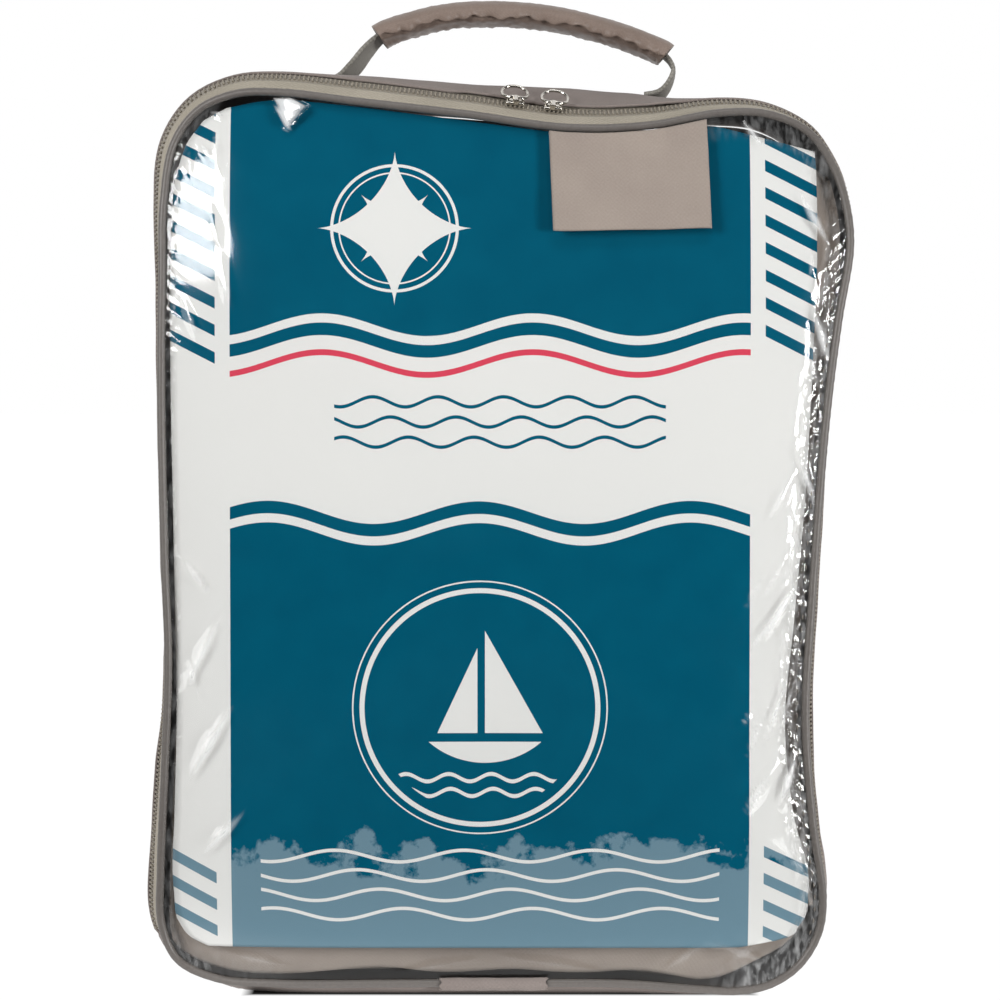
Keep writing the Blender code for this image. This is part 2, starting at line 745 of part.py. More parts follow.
def build_slider(side, x):
    """The slider's top plate, which covers the coil, and the bail that holds its pull."""
    frame = zip_frame(x, 0.5 * (COIL_START + COIL_END), COIL_PROUD + GAP)
    length, width, height = SLIDER_SIZE
    plate = bmesh.new()
    bmesh.ops.create_cube(plate, size=1.0)
    bmesh.ops.scale(plate, vec=(length, width, height), verts=plate.verts)
    bmesh.ops.translate(plate, vec=(0, 0, height / 2), verts=plate.verts)
    corners = [e for e in plate.edges if abs(e.verts[0].co.z - e.verts[1].co.z) > height / 2]
    bmesh.ops.bevel(plate, geom=corners, offset=SLIDER_CORNER, segments=3, affect="EDGES", profile=0.5)
    top = max(plate.faces, key=lambda face: face.calc_center_median().z)
    bmesh.ops.inset_individual(plate, faces=[top], thickness=BAIL_FOOT)
    bail = bmesh.ops.extrude_discrete_faces(plate, faces=[top])["faces"][0]
    bmesh.ops.translate(plate, vec=(0, 0, BAIL_SIZE[2]), verts=bail.verts)
    middle = bail.calc_center_median()
    shrink = (BAIL_SIZE[0] / (length - 2 * BAIL_FOOT), BAIL_SIZE[1] / (width - 2 * BAIL_FOOT), 1.0)
    bmesh.ops.scale(plate, vec=shrink, verts=bail.verts, space=Matrix.Translation(-middle))
    made = add_object(f"slider_{side}", plate, material("nickel", 0.3, 1.0))
    made.matrix_world = in_metres(frame)


def build_pull(side, x):
    """The flat pull: a neck over the bail, and a ring that leans back on the gusset."""
    height = SLIDER_SIZE[2] + BAIL_SIZE[2] + PULL_LIFT
    start = zip_frame(x, 0.5 * (COIL_START + COIL_END), COIL_PROUD + height)
    rest = zip_frame(x, 0.5 * (COIL_START + COIL_END) + PULL_LENGTH * 0.8, PULL_THICKNESS + PULL_REST)
    across = (rest.translation - start.translation).normalized()
    along = start.col[0].xyz
    off = along.cross(across).normalized()
    along = across.cross(off)
    frame = Matrix((along, across, off)).transposed().to_4x4()
    frame = frame @ Matrix.Rotation(math.radians(PULL_SKEW[side]), 4, "Z")
    frame.translation = start.translation

    ring_middle = PULL_LENGTH - PULL_OVAL * PULL_WIDTH / 2

    def outline(turn, inner):
        """A point of the pull's outer edge, where the ring runs out into the neck, or of its hole."""
        radius = PULL_WIDTH / 2 - (PULL_RIM if inner else 0.0)
        px = radius * math.sin(turn)
        py = ring_middle - PULL_ROOT - PULL_OVAL * radius * math.cos(turn)
        if not inner and math.cos(turn) > 0 and abs(px) < 0.6 * PULL_NECK:
            py = -PULL_ROOT / 2
            px = math.copysign(min(abs(px), PULL_NECK / 2), px)
        return px, py

    def place(column, row):
        inner = column % 4 in (1, 2)
        top = column % 4 in (2, 3)
        px, py = outline(2 * math.pi * (row % PULL_STEPS) / PULL_STEPS, inner)
        return (px, py, PULL_THICKNESS if top else 0.0)

    ring = laid_grid(5, PULL_STEPS + 1, place)
    bmesh.ops.recalc_face_normals(ring, faces=ring.faces)
    made = add_object(f"pull_{side}", ring, material("nickel", 0.3, 1.0))
    made.matrix_world = in_metres(frame)


def build():
    """Every piece of the bag, from the front to the back."""
    clear_scene()
    build_window()
    build_card()
    build_flap()
    build_cover()
    build_piping()
    build_wrap()
    build_zip()
    build_gusset()
    build_back_panel()
    build_webbing()
    build_sleeve()
    for side, x in SLIDER_PLACES.items():
        build_slider(side, x)
        build_pull(side, x)


build()
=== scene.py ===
# %% [markdown]
# # A folded boat cover in its zipped carry bag
#
# The real thing is a boat cover of coated polyester, folded back and forth into a flat pack and closed into a bag
# that stands on its bottom. The bag's front is clear film, with a printed card behind it. The front is sewn into a
# corded piping, and a coil zip runs just behind the piping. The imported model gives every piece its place, and this
# lesson gives each one its cloth, folds and finish. Sizes are in millimetres until a mesh is written.

import math
from collections import namedtuple

import bmesh
import bpy
import numpy as np
from mathutils import Matrix, Vector


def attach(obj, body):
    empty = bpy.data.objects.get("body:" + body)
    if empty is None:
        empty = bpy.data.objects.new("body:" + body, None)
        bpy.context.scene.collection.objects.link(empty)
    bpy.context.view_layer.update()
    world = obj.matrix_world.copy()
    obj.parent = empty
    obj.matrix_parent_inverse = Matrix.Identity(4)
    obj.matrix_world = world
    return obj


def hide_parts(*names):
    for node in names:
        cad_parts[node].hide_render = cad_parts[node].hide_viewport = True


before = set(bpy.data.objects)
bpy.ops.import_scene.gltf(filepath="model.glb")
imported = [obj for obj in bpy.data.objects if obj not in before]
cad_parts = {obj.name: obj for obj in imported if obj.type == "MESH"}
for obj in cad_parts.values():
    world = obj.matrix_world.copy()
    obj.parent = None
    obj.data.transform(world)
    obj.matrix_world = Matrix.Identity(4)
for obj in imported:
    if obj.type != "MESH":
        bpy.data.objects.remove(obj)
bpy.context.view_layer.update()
MM = 0.001
print("nodes in the frame:", len(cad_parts))

# %% [markdown]
# ## Colours and nodes
#
# A photo's colours are sRGB codes, while a shader adds up light in linear numbers, so one function turns the codes
# over. Every material below is a small tree of nodes. One helper adds a node, sets it and links what feeds it, and
# returns its first output, so that a tree reads from top to bottom like a recipe.

# %% One colour function and one node helper
def linear(code):
    """A colour code such as #8A7F76 as the four linear numbers that a shader reads."""
    parts = [int(code[k:k + 2], 16) / 255 for k in (1, 3, 5)]
    return (*(p / 12.92 if p <= 0.04045 else ((p + 0.055) / 1.055) ** 2.4 for p in parts), 1.0)


def add_node(tree, kind, *feeds, named=None, **settings):
    """Add a node with its settings; feeds go to its inputs in order and named ones by name."""
    made = tree.nodes.new("ShaderNode" + kind)
    for name, value in settings.items():
        setattr(made, name, value)
    sources = dict(enumerate(feeds))
    sources.update(named or {})
    for place, source in sources.items():
        if isinstance(source, bpy.types.NodeSocket):
            tree.links.new(source, made.inputs[place])
        elif source is not None:
            made.inputs[place].default_value = source
    return made.outputs[0] if made.outputs else made


def new_material(name):
    """An empty node material and its tree."""
    made = bpy.data.materials.new(name)
    made.use_nodes = True
    made.node_tree.nodes.clear()
    return made, made.node_tree


# %% [markdown]
# ## The front seam and the faces that hang on it
#
# The bag was cut round one line, the seam of its front. Everything else is placed from that line: the piping lies on
# it, the zip and the gusset stand out from it by a little at each depth, and film and back are stretched inside it.
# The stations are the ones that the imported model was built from, read here at a much finer spacing. A cubic curve
# through them keeps the uneven corners and the sagging top, which no plain rounded box would have.

# %% The bag's driving sizes
FRONT_Y = -41.8
BACK_Y = 50.2
BODY_HEIGHT = 372.0
BODY_MIDDLE_Z = 185.0
HALF_WIDTH = 137.0
LEAN, LEAN_CURVE = 7.0, 1.5
CORNER_SETBACK = 12.0
WINDOW_CROWN = 14.0
WINDOW_FLATNESS = 2.8
BACK_CROWN = 5.5
BACK_FLATNESS = 2.2
TOP_FROM = 0.9 * BODY_HEIGHT
PIPING_RADIUS = 1.5
CROWN_INSET = 0.85     # from the piping to where the film's crown starts

# Depths behind the piping's middle
TAPE_START, TAPE_MIDDLE = 2.3, 7.0
COIL_START, COIL_END = 7.3, 12.5
TAPE_END = 16.6
GUSSET_START = 13.8
SEAM_START = 2.3
CREST, REAR, REAR_FULLNESS = 0.42, 0.75, 0.12
TAPE_SHARE, SEAM_STEP = 0.62, 0.3
COIL_PROUD = 0.6
GAP = 0.35

Station = namedtuple("Station", "x z coil crest back")
FRONT_SEAM = (
    Station(0.0, 5.6, 9.0, 12.0, 10.0),
    Station(52.0, 5.2, 9.0, 12.0, 10.0),
    Station(80.0, 2.8, 8.0, 10.0, 8.0),
    Station(96.0, 1.8, 5.0, 6.0, 5.0),
    Station(109.5, 4.2, 3.4, 5.0, 3.5),
    Station(121.0, 11.8, 2.2, 4.2, 2.0),
    Station(128.6, 24.5, 2.0, 4.0, 1.0),
    Station(130.4, 38.5, 2.2, 4.0, 0.0),
    Station(126.0, 70.0, 3.0, 4.0, 0.0),
    Station(122.8, 112.0, 3.3, 4.5, 1.0),
    Station(125.0, 157.0, 3.2, 4.5, 1.0),
    Station(130.8, 234.0, 2.0, 3.5, 0.0),
    Station(135.5, 272.0, 1.6, 2.8, -1.0),
    Station(140.3, 302.0, 2.0, 2.8, -2.0),
    Station(139.0, 317.4, 2.6, 2.8, -2.0),
    Station(134.2, 332.8, 3.0, 3.0, -1.5),
    Station(123.8, 347.6, 3.6, 3.8, -1.0),
    Station(107.4, 354.8, 4.8, 5.2, 0.0),
    Station(88.0, 355.2, 6.2, 7.0, 1.5),
    Station(60.0, 350.2, 8.0, 14.4, 5.0),
    Station(28.0, 349.2, 8.5, 17.6, 7.0),
    Station(-15.0, 354.8, 8.5, 14.2, 5.0),
    Station(-58.0, 359.8, 8.8, 12.6, 3.0),
    Station(-88.0, 363.4, 8.4, 7.9, 1.0),
    Station(-105.8, 363.0, 8.0, 5.8, 0.0),
    Station(-120.8, 356.8, 7.4, 5.0, -1.0),
    Station(-130.8, 343.4, 6.6, 4.4, -2.0),
    Station(-134.8, 320.0, 5.0, 3.4, -2.0),
    Station(-135.3, 290.0, 3.4, 3.0, -1.5),
    Station(-135.7, 240.0, 2.5, 3.0, -1.0),
    Station(-134.6, 178.0, 2.5, 3.0, 0.0),
    Station(-133.2, 135.0, 2.5, 3.6, 0.5),
    Station(-135.0, 90.0, 4.2, 4.2, 0.5),
    Station(-137.0, 50.0, 5.4, 4.6, 0.5),
    Station(-137.0, 28.6, 5.0, 4.4, 0.5),
    Station(-130.6, 13.8, 3.4, 4.6, 1.5),
    Station(-115.0, 6.6, 4.0, 6.5, 5.0),
    Station(-90.0, 5.0, 8.0, 10.0, 8.0),
    Station(-45.0, 5.4, 9.0, 12.0, 10.0),
)


# %% Curves through stations, and the seam at any spacing
def smooth_curve(knots, values, places):
    """Values at the places on a smooth curve that passes through the values at the knots."""
    knots, places = np.asarray(knots, float), np.asarray(places, float)
    values = np.asarray(values, float).reshape(len(knots), -1)
    steps = np.diff(knots)[:, None]
    slopes = np.diff(values, axis=0) / steps
    inner = (slopes[:-1] * steps[1:] + slopes[1:] * steps[:-1]) / (steps[:-1] + steps[1:])
    tangents = np.vstack([slopes[:1], inner, slopes[-1:]])
    span = np.clip(np.searchsorted(knots, places, side="right") - 1, 0, len(knots) - 2)
    step = steps[span]
    t = (places - knots[span])[:, None] / step
    return (
        values[span] * (2 * t**3 - 3 * t**2 + 1)
        + tangents[span] * step * (t**3 - 2 * t**2 + t)
        + values[span + 1] * (3 * t**2 - 2 * t**3)
        + tangents[span + 1] * step * (t**3 - t**2)
    )


SeamLine = namedtuple("SeamLine", "x z coil crest back out_x out_z arc")


def seam_line(spacing):
    """The seam read at a spacing, once round; its last station is its first again."""
    rows = np.array(FRONT_SEAM)
    ring = np.vstack([rows[-2:], rows, rows[:3]])
    lengths = np.hypot(*np.diff(ring[:, :2], axis=0).T)
    knots = np.concatenate([[0.0], np.cumsum(np.sqrt(lengths))])
    places = [
        np.linspace(knots[k], knots[k + 1], max(2, round(lengths[k] / spacing)), endpoint=False)
        for k in range(2, 2 + len(rows))
    ]
    line = smooth_curve(knots, ring, np.concatenate(places))
    ahead = np.roll(line[:, :2], -1, axis=0) - np.roll(line[:, :2], 1, axis=0)
    ahead /= np.linalg.norm(ahead, axis=1)[:, None]
    line = np.column_stack([line, ahead[:, 1], -ahead[:, 0]])
    line = np.vstack([line, line[:1]])
    arc = np.concatenate([[0.0], np.cumsum(np.hypot(*np.diff(line[:, :2], axis=0).T))])
    return SeamLine(*line.T, arc)


def part_of(line, keep):
    """The stations of a seam line that a mask keeps."""
    return SeamLine(*(column[keep] for column in line))


SEAM = seam_line(2.0)
SEAM_LENGTH = SEAM.arc[-1]
print(f"the front seam is {SEAM_LENGTH:.0f} mm round")


# %% The bag's faces as functions of place
def front_plane(x, z):
    """Y of the front seam's face: it leans back towards the top, and its corners sit back."""
    corner = (x / HALF_WIDTH) ** 4 * ((z - BODY_MIDDLE_Z) / BODY_MIDDLE_Z) ** 4
    rise = np.maximum(z, 0.0) / BODY_HEIGHT
    return FRONT_Y + LEAN * rise**LEAN_CURVE + CORNER_SETBACK * np.minimum(corner, 1.0)


def back_plane(z):
    """Y of the back seam at a height."""
    return BACK_Y - LEAN * (np.maximum(z, 0.0) / BODY_HEIGHT) ** LEAN_CURVE


def reach(x, z):
    """How far out a point of the front lies: 0 in the middle and 1 on the window's edge."""
    inset = PIPING_RADIUS + CROWN_INSET
    spoke_x = SEAM.x - SEAM.out_x * inset
    spoke_z = SEAM.z - SEAM.out_z * inset - BODY_MIDDLE_Z
    angles, radii = np.arctan2(spoke_z, spoke_x), np.hypot(spoke_x, spoke_z)
    order = np.argsort(angles)
    angle = np.arctan2(z - BODY_MIDDLE_Z, x)
    edge = np.interp(angle, angles[order], radii[order], period=2 * math.pi)
    return np.minimum(np.hypot(x, z - BODY_MIDDLE_Z) / edge, 1.0)


def film_y(x, z):
    """Y of the film's outer face, without its creases."""
    return front_plane(x, z) - WINDOW_CROWN * (1.0 - reach(x, z) ** WINDOW_FLATNESS)


def full_depths(line):
    """The bag's depth, piping to back seam, at each station."""
    return back_plane(line.z) - front_plane(line.x, line.z)


def side_points(line, depths, lift=0.0):
    """Points of the bag's side: one row for each station, one column for each of its depths."""
    full = full_depths(line)
    out = np.empty(depths.shape)
    for k in range(len(depths)):
        knots = [0.0, TAPE_MIDDLE, COIL_END, full[k] * CREST, full[k] * REAR, full[k]]
        rear = 0.5 * (line.crest[k] + line.back[k]) + REAR_FULLNESS * abs(line.crest[k])
        values = [SEAM_STEP, TAPE_SHARE * line.coil[k], line.coil[k], line.crest[k], rear, line.back[k]]
        out[k] = smooth_curve(knots, values, depths[k])[:, 0]
    out = out + lift
    x = line.x[:, None] + line.out_x[:, None] * out
    z = line.z[:, None] + line.out_z[:, None] * out
    y = front_plane(line.x, line.z)[:, None] + depths
    return np.stack([x, y, np.maximum(z, 0.0)], axis=-1)


# %% [markdown]
# ## Folds and creases
#
# Cloth and film differ from a smooth surface in two ways. Long soft folds and sharp creases lie where something
# pulls, so those are placed one by one: each is a line with a width and a height, and pointed ends. The small unrest
# between them has no single cause, so it is a sum of a few waves in different directions, always the same ones.

# %% Placed creases and small unrest
Crease = namedtuple("Crease", "x0 z0 x1 z1 width height sharp")


def creased(u, v, creases):
    """How far the creases stand up at the places (u, v); sharp ones are tents, the others are soft."""
    rise = np.zeros(np.shape(u))
    for c in creases:
        along = np.array([c.x1 - c.x0, c.z1 - c.z0])
        length = np.linalg.norm(along)
        along /= length
        place = (u - c.x0) * along[0] + (v - c.z0) * along[1]
        off = np.abs((v - c.z0) * along[0] - (u - c.x0) * along[1])
        taper = np.clip(1.0 - np.abs(2.0 * place / length - 1.0), 0.0, 1.0) ** 0.6
        width = c.width * (0.25 + 0.75 * taper)
        tent = np.clip(1.0 - off / width, 0.0, 1.0)
        soft = np.exp(-2.5 * (off / width) ** 2)
        rise += c.height * taper * (c.sharp * tent + (1.0 - c.sharp) * soft)
    return rise


def unrest(u, v, size, seed, ridged=False):
    """Small unrest of about one wavelength, from -1 to 1; ridged, it has the sharp lines of crumpled film."""
    rng = np.random.default_rng(seed)
    total = np.zeros(np.shape(u))
    count = 7
    for _ in range(count):
        angle, phase = rng.uniform(0, 2 * math.pi, 2)
        scale = 2 * math.pi / (size * rng.uniform(0.7, 1.6))
        bend = 0.9 * np.sin(scale * 0.4 * (u * math.sin(angle) - v * math.cos(angle)) + 2 * phase)
        wave = np.sin(scale * (u * math.cos(angle) + v * math.sin(angle)) + phase + bend)
        total += 1.0 - 2.0 * np.abs(wave) if ridged else wave
    return total / count * 1.8


def near(value, low, high, soft):
    """1 between low and high, falling to 0 over the soft width outside."""
    inside = np.minimum(value - low, high - value)
    t = np.clip(1.0 + inside / soft, 0.0, 1.0)
    return t * t * (3.0 - 2.0 * t)


# %% [markdown]
# ## From a grid of points to a sheet
#
# A cut piece of cloth is flat and rectangular before it is sewn, so a grid is its natural mesh: rows run along it and
# columns across. bmesh makes the flat grid, its points then move to their places on the bag, and the flat places stay
# with the mesh as its UV map in metres. A weave that reads that map keeps its real thread spacing on every fold. The
# Solidify modifier gives the sheet its thickness, behind the face that shows.

# %% Laying a sheet and finishing a piece
def laid_sheet(name, points, flat, made_of, thickness=0.0, offset=-1.0, **marks):
    """A mesh through a grid of points, with its flat places as UV map; edges that meet are sewn together.

    Marks are values at the points, kept under their names as attributes for the material.
    """
    rows, columns = points.shape[:2]
    cloth = bmesh.new()
    bmesh.ops.create_grid(cloth, x_segments=columns - 1, y_segments=rows - 1, size=1.0)
    mesh = bpy.data.meshes.new(name)
    cloth.to_mesh(mesh)
    cloth.free()
    places = np.empty(len(mesh.vertices) * 3, np.float32)
    mesh.vertices.foreach_get("co", places)
    share = (places.reshape(-1, 3) + 1.0) / 2.0
    column = np.rint(share[:, 0] * (columns - 1)).astype(int)
    row = np.rint(share[:, 1] * (rows - 1)).astype(int)
    mesh.vertices.foreach_set("co", (points[row, column] * MM).astype(np.float32).ravel())
    corners = np.empty(len(mesh.loops), np.int32)
    mesh.loops.foreach_get("vertex_index", corners)
    layer = mesh.uv_layers.new(name="UVMap")
    layer.uv.foreach_set("vector", (flat[row, column][corners] * MM).astype(np.float32).ravel())
    for mark, values in marks.items():
        kept = mesh.attributes.new(mark, "FLOAT", "POINT")
        kept.data.foreach_set("value", values[row, column].astype(np.float32))
    sewn = bmesh.new()
    sewn.from_mesh(mesh)
    bmesh.ops.remove_doubles(sewn, verts=sewn.verts, dist=0.002 * MM)
    sewn.to_mesh(mesh)
    sewn.free()
    return finished(name, mesh, made_of, thickness, offset)


def finished(name, mesh, made_of, thickness=0.0, offset=-1.0):
    """An object for a mesh, smooth, with its material and its thickness in millimetres."""
    mesh.materials.append(made_of)
    mesh.shade_smooth()
    mesh.set_sharp_from_angle(angle=math.radians(50))
    made = bpy.data.objects.new(name, mesh)
    bpy.context.scene.collection.objects.link(made)
    if thickness:
        solid = made.modifiers.new("thickness", "SOLIDIFY")
        solid.thickness = thickness * MM
        solid.offset = offset
        solid.use_even_offset = False
    return made


def from_bmesh(name, shape, made_of):
    """An object for a bmesh modelled in millimetres."""
    bmesh.ops.scale(shape, vec=(MM, MM, MM), verts=shape.verts)
    mesh = bpy.data.meshes.new(name)
    shape.to_mesh(mesh)
    shape.free()
    return finished(name, mesh, made_of)


def repeated(bead, places):
    """Many copies of one small shape, each at its own place, as one bmesh."""
    pattern = bpy.data.meshes.new("pattern")
    bead.to_mesh(pattern)
    bead.free()
    many = bmesh.new()
    for place in places:
        pattern.transform(place)
        many.from_mesh(pattern)
        pattern.transform(place.inverted())
    bpy.data.meshes.remove(pattern)
    return many


def stands_for(piece, slot, *nodes):
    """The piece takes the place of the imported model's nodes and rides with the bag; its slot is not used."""
    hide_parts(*nodes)
    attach(piece, "root")
    print(f"{piece.name}: {len(piece.data.polygons)} faces")
    return piece


def flat_places(points):
    """The places of a laid grid's points on the flat cloth: distances along its middle row and column."""
    rows, columns = points.shape[:2]
    down = np.linalg.norm(np.diff(points[:, columns // 2], axis=0), axis=-1)
    across = np.linalg.norm(np.diff(points[rows // 2], axis=0), axis=-1)
    v = np.concatenate([[0.0], np.cumsum(down)])
    u = np.concatenate([[0.0], np.cumsum(across)])
    return np.stack(np.broadcast_arrays(u[None, :], v[:, None]), axis=-1)


# %% [markdown]
# ## Woven polyester
#
# The bag and the cover are plain-woven polyester of 300 denier, with a thread about every 0.45 mm. At the photo's
# scale a pixel is 0.4 mm, so that weave is drawn at 0.9 mm to show at all. Two sine waves multiplied give the over
# and under of the threads. Yarn is never quite even, so slow noise moves the colour a little, and a fine one gives
# the grain. Coated cloth has a weak sheen and no sharp highlight. One recipe serves the bag's cloth, the cover's
# cloth, the zip's tape, the strap and the sleeve, with their own colours, threads and gloss.

# %% The woven cloth recipe
Cloth = namedtuple("Cloth", "colour shade thread_u thread_v contrast relief roughness sheen slant")


def woven(name, cloth):
    """A woven cloth: threads in relief, slow and fine unevenness of colour, and a soft sheen."""
    made, tree = new_material(name)
    place = add_node(tree, "UVMap", uv_map="UVMap")
    split = add_node(tree, "SeparateXYZ", place).node.outputs
    slanted = add_node(tree, "Math", split[1], cloth.slant, split[0], operation="MULTIPLY_ADD")
    warp = add_node(tree, "Math", slanted, math.pi / (cloth.thread_u * MM), operation="MULTIPLY")
    weft = add_node(tree, "Math", split[1], math.pi / (cloth.thread_v * MM), operation="MULTIPLY")
    over = add_node(
        tree, "Math",
        add_node(tree, "Math", warp, operation="SINE"),
        add_node(tree, "Math", weft, operation="SINE"),
        operation="MULTIPLY",
    )
    slow = add_node(tree, "TexNoise", place, named={"Scale": 38.0, "Detail": 2.0, "Roughness": 0.5})
    grain = add_node(tree, "TexNoise", place, named={"Scale": 1100.0, "Detail": 2.0, "Roughness": 0.7})
    uneven = add_node(tree, "Math", slow, 0.5, add_node(tree, "Math", grain, 0.5, operation="MULTIPLY"),
                      operation="MULTIPLY_ADD")
    threaded = add_node(tree, "Math", over, cloth.contrast, uneven, operation="MULTIPLY_ADD")
    spread = add_node(tree, "MapRange", threaded, 0.3, 0.72, 0.0, 1.0)
    colour = add_node(tree, "Mix", spread, named={6: linear(cloth.shade), 7: linear(cloth.colour)},
                      data_type="RGBA").node.outputs[2]
    height = add_node(tree, "Math", grain, 0.5, over, operation="MULTIPLY_ADD")
    relief = add_node(tree, "Bump", named={"Height": height, "Strength": 0.6, "Distance": cloth.relief * MM})
    shader = add_node(tree, "BsdfPrincipled", named={
        "Base Color": colour,
        "Roughness": cloth.roughness,
        "Sheen Weight": cloth.sheen,
        "Sheen Roughness": 0.5,
        "Specular IOR Level": 0.3,
        "Normal": relief,
    })
    add_node(tree, "OutputMaterial", shader)
    return made


COVER_CLOTH = woven("polyester_plain_weave_taupe",
                    Cloth("#A3978D", "#93877F", 0.9, 0.9, 0.05, 0.03, 0.85, 0.05, 0.0))
BAG_CLOTH = woven("polyester_plain_weave_mauve_grey",
                  Cloth("#8B817C", "#7B716C", 0.9, 0.9, 0.05, 0.04, 0.80, 0.05, 0.0))
TAPE_CLOTH = woven("polyester_zip_tape_beige",
                   Cloth("#AAA294", "#958E80", 0.7, 1.1, 0.10, 0.10, 0.80, 0.05, 0.0))
STRAP_CLOTH = woven("polyester_webbing_grey",
                    Cloth("#94918A", "#6E6B64", 1.5, 1.9, 0.16, 0.35, 0.80, 0.05, 1.0))
SLEEVE_CLOTH = woven("polyester_satin_brown_grey",
                     Cloth("#8C7C72", "#77685F", 0.7, 0.7, 0.02, 0.03, 0.45, 0.0, 0.0))

# %% [markdown]
# ## Vinyl, nylon, nickel and thread
#
# The piping is soft vinyl over a cord: satin, with a faint grain. The coil is extruded nylon, a little glossy.
# Sliders and pulls are zinc with a bright nickel plate, which is a metal with a low roughness and the slightly warm
# grey of nickel. The thread is spun polyester and has no gloss to speak of.

# %% The plain finishes
Finish = namedtuple("Finish", "colour shade metallic roughness grain relief")


def plain_finish(name, finish):
    """A material of one substance, with fine grain in its colour and its relief."""
    made, tree = new_material(name)
    place = add_node(tree, "TexCoord").node.outputs["Object"]
    noise = add_node(tree, "TexNoise", place,
                     named={"Scale": 1.0 / (finish.grain * MM), "Detail": 3.0, "Roughness": 0.6})
    colour = add_node(tree, "Mix", noise, named={6: linear(finish.shade), 7: linear(finish.colour)},
                      data_type="RGBA").node.outputs[2]
    relief = add_node(tree, "Bump", named={"Height": noise, "Strength": 0.4, "Distance": finish.relief * MM})
    shader = add_node(tree, "BsdfPrincipled", named={
        "Base Color": colour,
        "Metallic": finish.metallic,
        "Roughness": finish.roughness,
        "Normal": relief,
    })
    add_node(tree, "OutputMaterial", shader)
    return made


PIPING_VINYL = plain_finish("soft_vinyl_grey", Finish("#706A66", "#585450", 0.0, 0.42, 1.2, 0.05))
COIL_NYLON = plain_finish("nylon_coil_taupe", Finish("#938B7E", "#7A7367", 0.0, 0.45, 0.8, 0.02))
NICKEL = plain_finish("nickel_plated_zinc", Finish("#D9D5CE", "#C4BFB7", 1.0, 0.20, 2.0, 0.01))
THREAD = plain_finish("spun_polyester_thread", Finish("#8D857B", "#6F675F", 0.0, 0.90, 0.3, 0.05))

# %% [markdown]
# ## The gusset: sides, top and base
#
# One strip of cloth runs round the bag. It starts behind the zip, and where there is no zip at the piping itself. The
# sides belly out over the folded pack, and the cloth has soft folds there, while the base is pressed flat by the
# weight. Its front edge is turned under beside the zip, which makes a small rounded hem, and at the back it rolls
# into the seam with the back panel.

# %% The gusset
ZIP_RIGHT_FOOT_Z = 38.0
ZIP_LEFT_FOOT_Z = 25.0
ZIP_FOOT_BLEND = 3.0
FREE_FROM, FREE_TO, FREE_SOFT = 22.0, 88.0, 18.0     # depths between which the cloth folds freely
BASE_FLAT_TO, BASE_SOFT, TOP_SOFT = 4.0, 30.0, 20.0
HEM_STAND, HEM_GAPE, HEM_WIDTH = 0.5, 0.9, 1.8
GAPES = ((-14.0, 0.0, 8.0), (26.0, 66.0, 10.0))      # x from, to and soft width, where the top's hem gapes
BACK_ROLL, BACK_ROLL_WIDTH = 1.0, 1.3

GUSSET_CREASES = (
    # arc along the seam from the middle of the foot, and depth
    Crease(150.0, 20.0, 205.0, 60.0, 7.0, 1.4, 0.2),
    Crease(175.0, 70.0, 240.0, 40.0, 6.0, 1.2, 0.2),
    Crease(255.0, 30.0, 330.0, 66.0, 8.0, 1.3, 0.1),
    Crease(300.0, 75.0, 390.0, 52.0, 7.0, 1.2, 0.2),
    Crease(402.0, 25.0, 452.0, 70.0, 7.0, 1.1, 0.2),
    Crease(470.0, 30.0, 500.0, 72.0, 6.0, 1.0, 0.3),
    Crease(540.0, 40.0, 575.0, 70.0, 6.0, 0.8, 0.2),
    Crease(600.0, 66.0, 662.0, 50.0, 7.0, 0.8, 0.1),
    Crease(740.0, 30.0, 770.0, 74.0, 6.0, 1.0, 0.3),
    Crease(800.0, 70.0, 850.0, 34.0, 7.0, 1.2, 0.2),
    Crease(880.0, 28.0, 960.0, 62.0, 8.0, 1.3, 0.1),
    Crease(930.0, 76.0, 1010.0, 58.0, 7.0, 1.2, 0.2),
    Crease(1020.0, 26.0, 1066.0, 60.0, 6.0, 1.3, 0.2),
    Crease(1060.0, 72.0, 1110.0, 50.0, 6.0, 1.2, 0.2),
)


